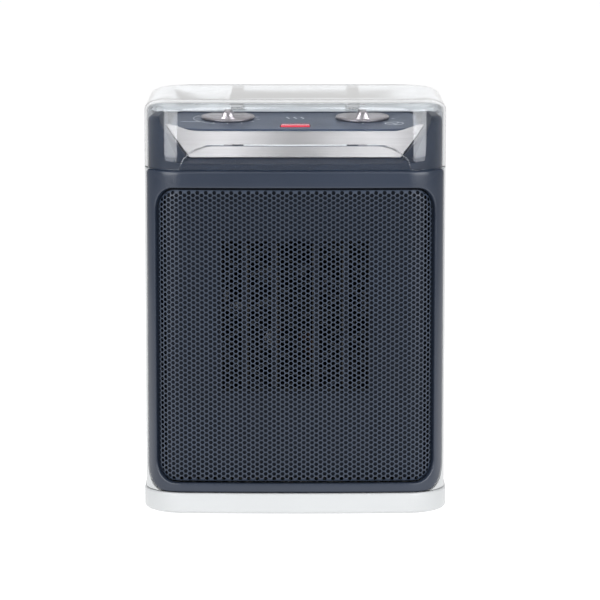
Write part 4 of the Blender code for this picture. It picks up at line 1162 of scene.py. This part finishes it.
carve(cover, *added, operation="UNION")
carve(cover, *[plug(PIN_HOLE, x - 0.01, x + 0.01, hinge_turn) for x in (-ARM_X, ARM_X)])

# %% [markdown]
# ## Floor, light and camera
# The heater stands on a sheet of white paper, two metres wide, that runs far back. The paper glows a
# little, which keeps it as white as the room without flooding the heater with light. Two tall soft panels
# in front, one on each side, light the front and give the long reflections down the round corners of the
# bezel. Two narrow strips overhead draw the highlights on the knobs and the trim, and a wide soft lamp
# behind them lights the top. Glossy mouldings show the whole room, so the room itself is dimmer to the
# front, the sides and the ceiling than behind the heater, except where the camera looks at it directly.

# %% Floor and lights
PAPER, kit, shader = material("floor")
place = kit.add("TexCoord").outputs["Object"]
kit.set(shader, Base_Color=kit.mix(kit.noise(place, 3.0), (0.29, 0.29, 0.29, 1), (0.31, 0.31, 0.31, 1)))
shader.inputs["Roughness"].default_value = 0.9
shader.inputs["Emission Color"].default_value = (1, 1, 1, 1)
shader.inputs["Emission Strength"].default_value = 0.93
PAPER_HALF, PAPER_FRONT, PAPER_REAR = 1.0, -0.75, 9
corners = [(-PAPER_HALF, PAPER_FRONT, 0), (PAPER_HALF, PAPER_FRONT, 0), (PAPER_HALF, PAPER_REAR, 0),
           (-PAPER_HALF, PAPER_REAR, 0)]
sheet = bpy.data.meshes.new("floor")
sheet.from_pydata(corners, [], [(0, 1, 2, 3)])
sheet.materials.append(PAPER)
floor = bpy.data.objects.new("floor", sheet)
bpy.context.scene.collection.objects.link(floor)


def soft_panel(name, place, aim, size, power, colour=(1, 1, 1)):
    """A rectangular area lamp that faces a point."""
    lamp = bpy.data.lights.new(name, "AREA")
    lamp.shape, lamp.size, lamp.size_y = "RECTANGLE", *size
    lamp.energy, lamp.color = power, colour
    obj = bpy.data.objects.new(name, lamp)
    obj.location = place
    obj.rotation_euler = (Vector(aim) - Vector(place)).to_track_quat("-Z", "Y").to_euler()
    bpy.context.scene.collection.objects.link(obj)


MIDDLE = Vector((0, 0, 0.14))
COOL = (0.97, 0.98, 1.0)
for side in (-1, 1):
    soft_panel(f"side panel {side}", (side * 0.75, -0.80, 0.60), MIDDLE, (0.80, 0.95), 11.5, COOL)
    soft_panel(f"overhead strip {side}", (side * 0.17, -0.50, 1.55), (side * 0.10, -0.05, 0.2),
               (0.13, 1.2), 1.6)
soft_panel("overhead", (0, 0.75, 1.7), MIDDLE, (1.8, 0.9), 4)

# %% Room
world = bpy.data.worlds.new("white room")
bpy.context.scene.world = world
world.use_nodes = True
kit = Nodes(world.node_tree)
backdrop = world.node_tree.nodes["Background"]
split = kit.add("SeparateXYZ")
kit.link(kit.add("TexCoord").outputs["Generated"], split.inputs[0])
brighter_behind = kit.between(split.outputs[1], 0.70, 0.95, 0.34, 1.10)
darker_above = kit.between(split.outputs[2], 0.40, 0.80, 1.0, 0.16)
room = kit.math("MULTIPLY", brighter_behind, darker_above)
seen = kit.add("LightPath").outputs["Is Camera Ray"]
kit.set(backdrop, Color=(1, 1, 1, 1), Strength=kit.between(seen, 0, 1, room, 1.0))
bpy.context.scene.view_settings.view_transform = "Standard"

# %% Camera
# A long lens from a good way off, a little above the heater, keeps its sides nearly parallel.
CAMERA_HEIGHT = 0.495
CAMERA_AWAY = 2.300 - FRONT_Y
LENS_MM = 206.3
LOOK_DOWN = math.radians(8.56)
camera = bpy.data.objects.new("camera", bpy.data.cameras.new("camera"))
camera.data.lens = LENS_MM
camera.data.sensor_width = 36
camera.data.shift_x = 0.0080
camera.location = (0, -CAMERA_AWAY, CAMERA_HEIGHT)
camera.rotation_euler = (math.pi / 2 - LOOK_DOWN, 0, 0)
bpy.context.scene.collection.objects.link(camera)
bpy.context.scene.camera = camera
print(f"camera {CAMERA_AWAY:.2f} m in front, lens {LENS_MM:.0f} mm")
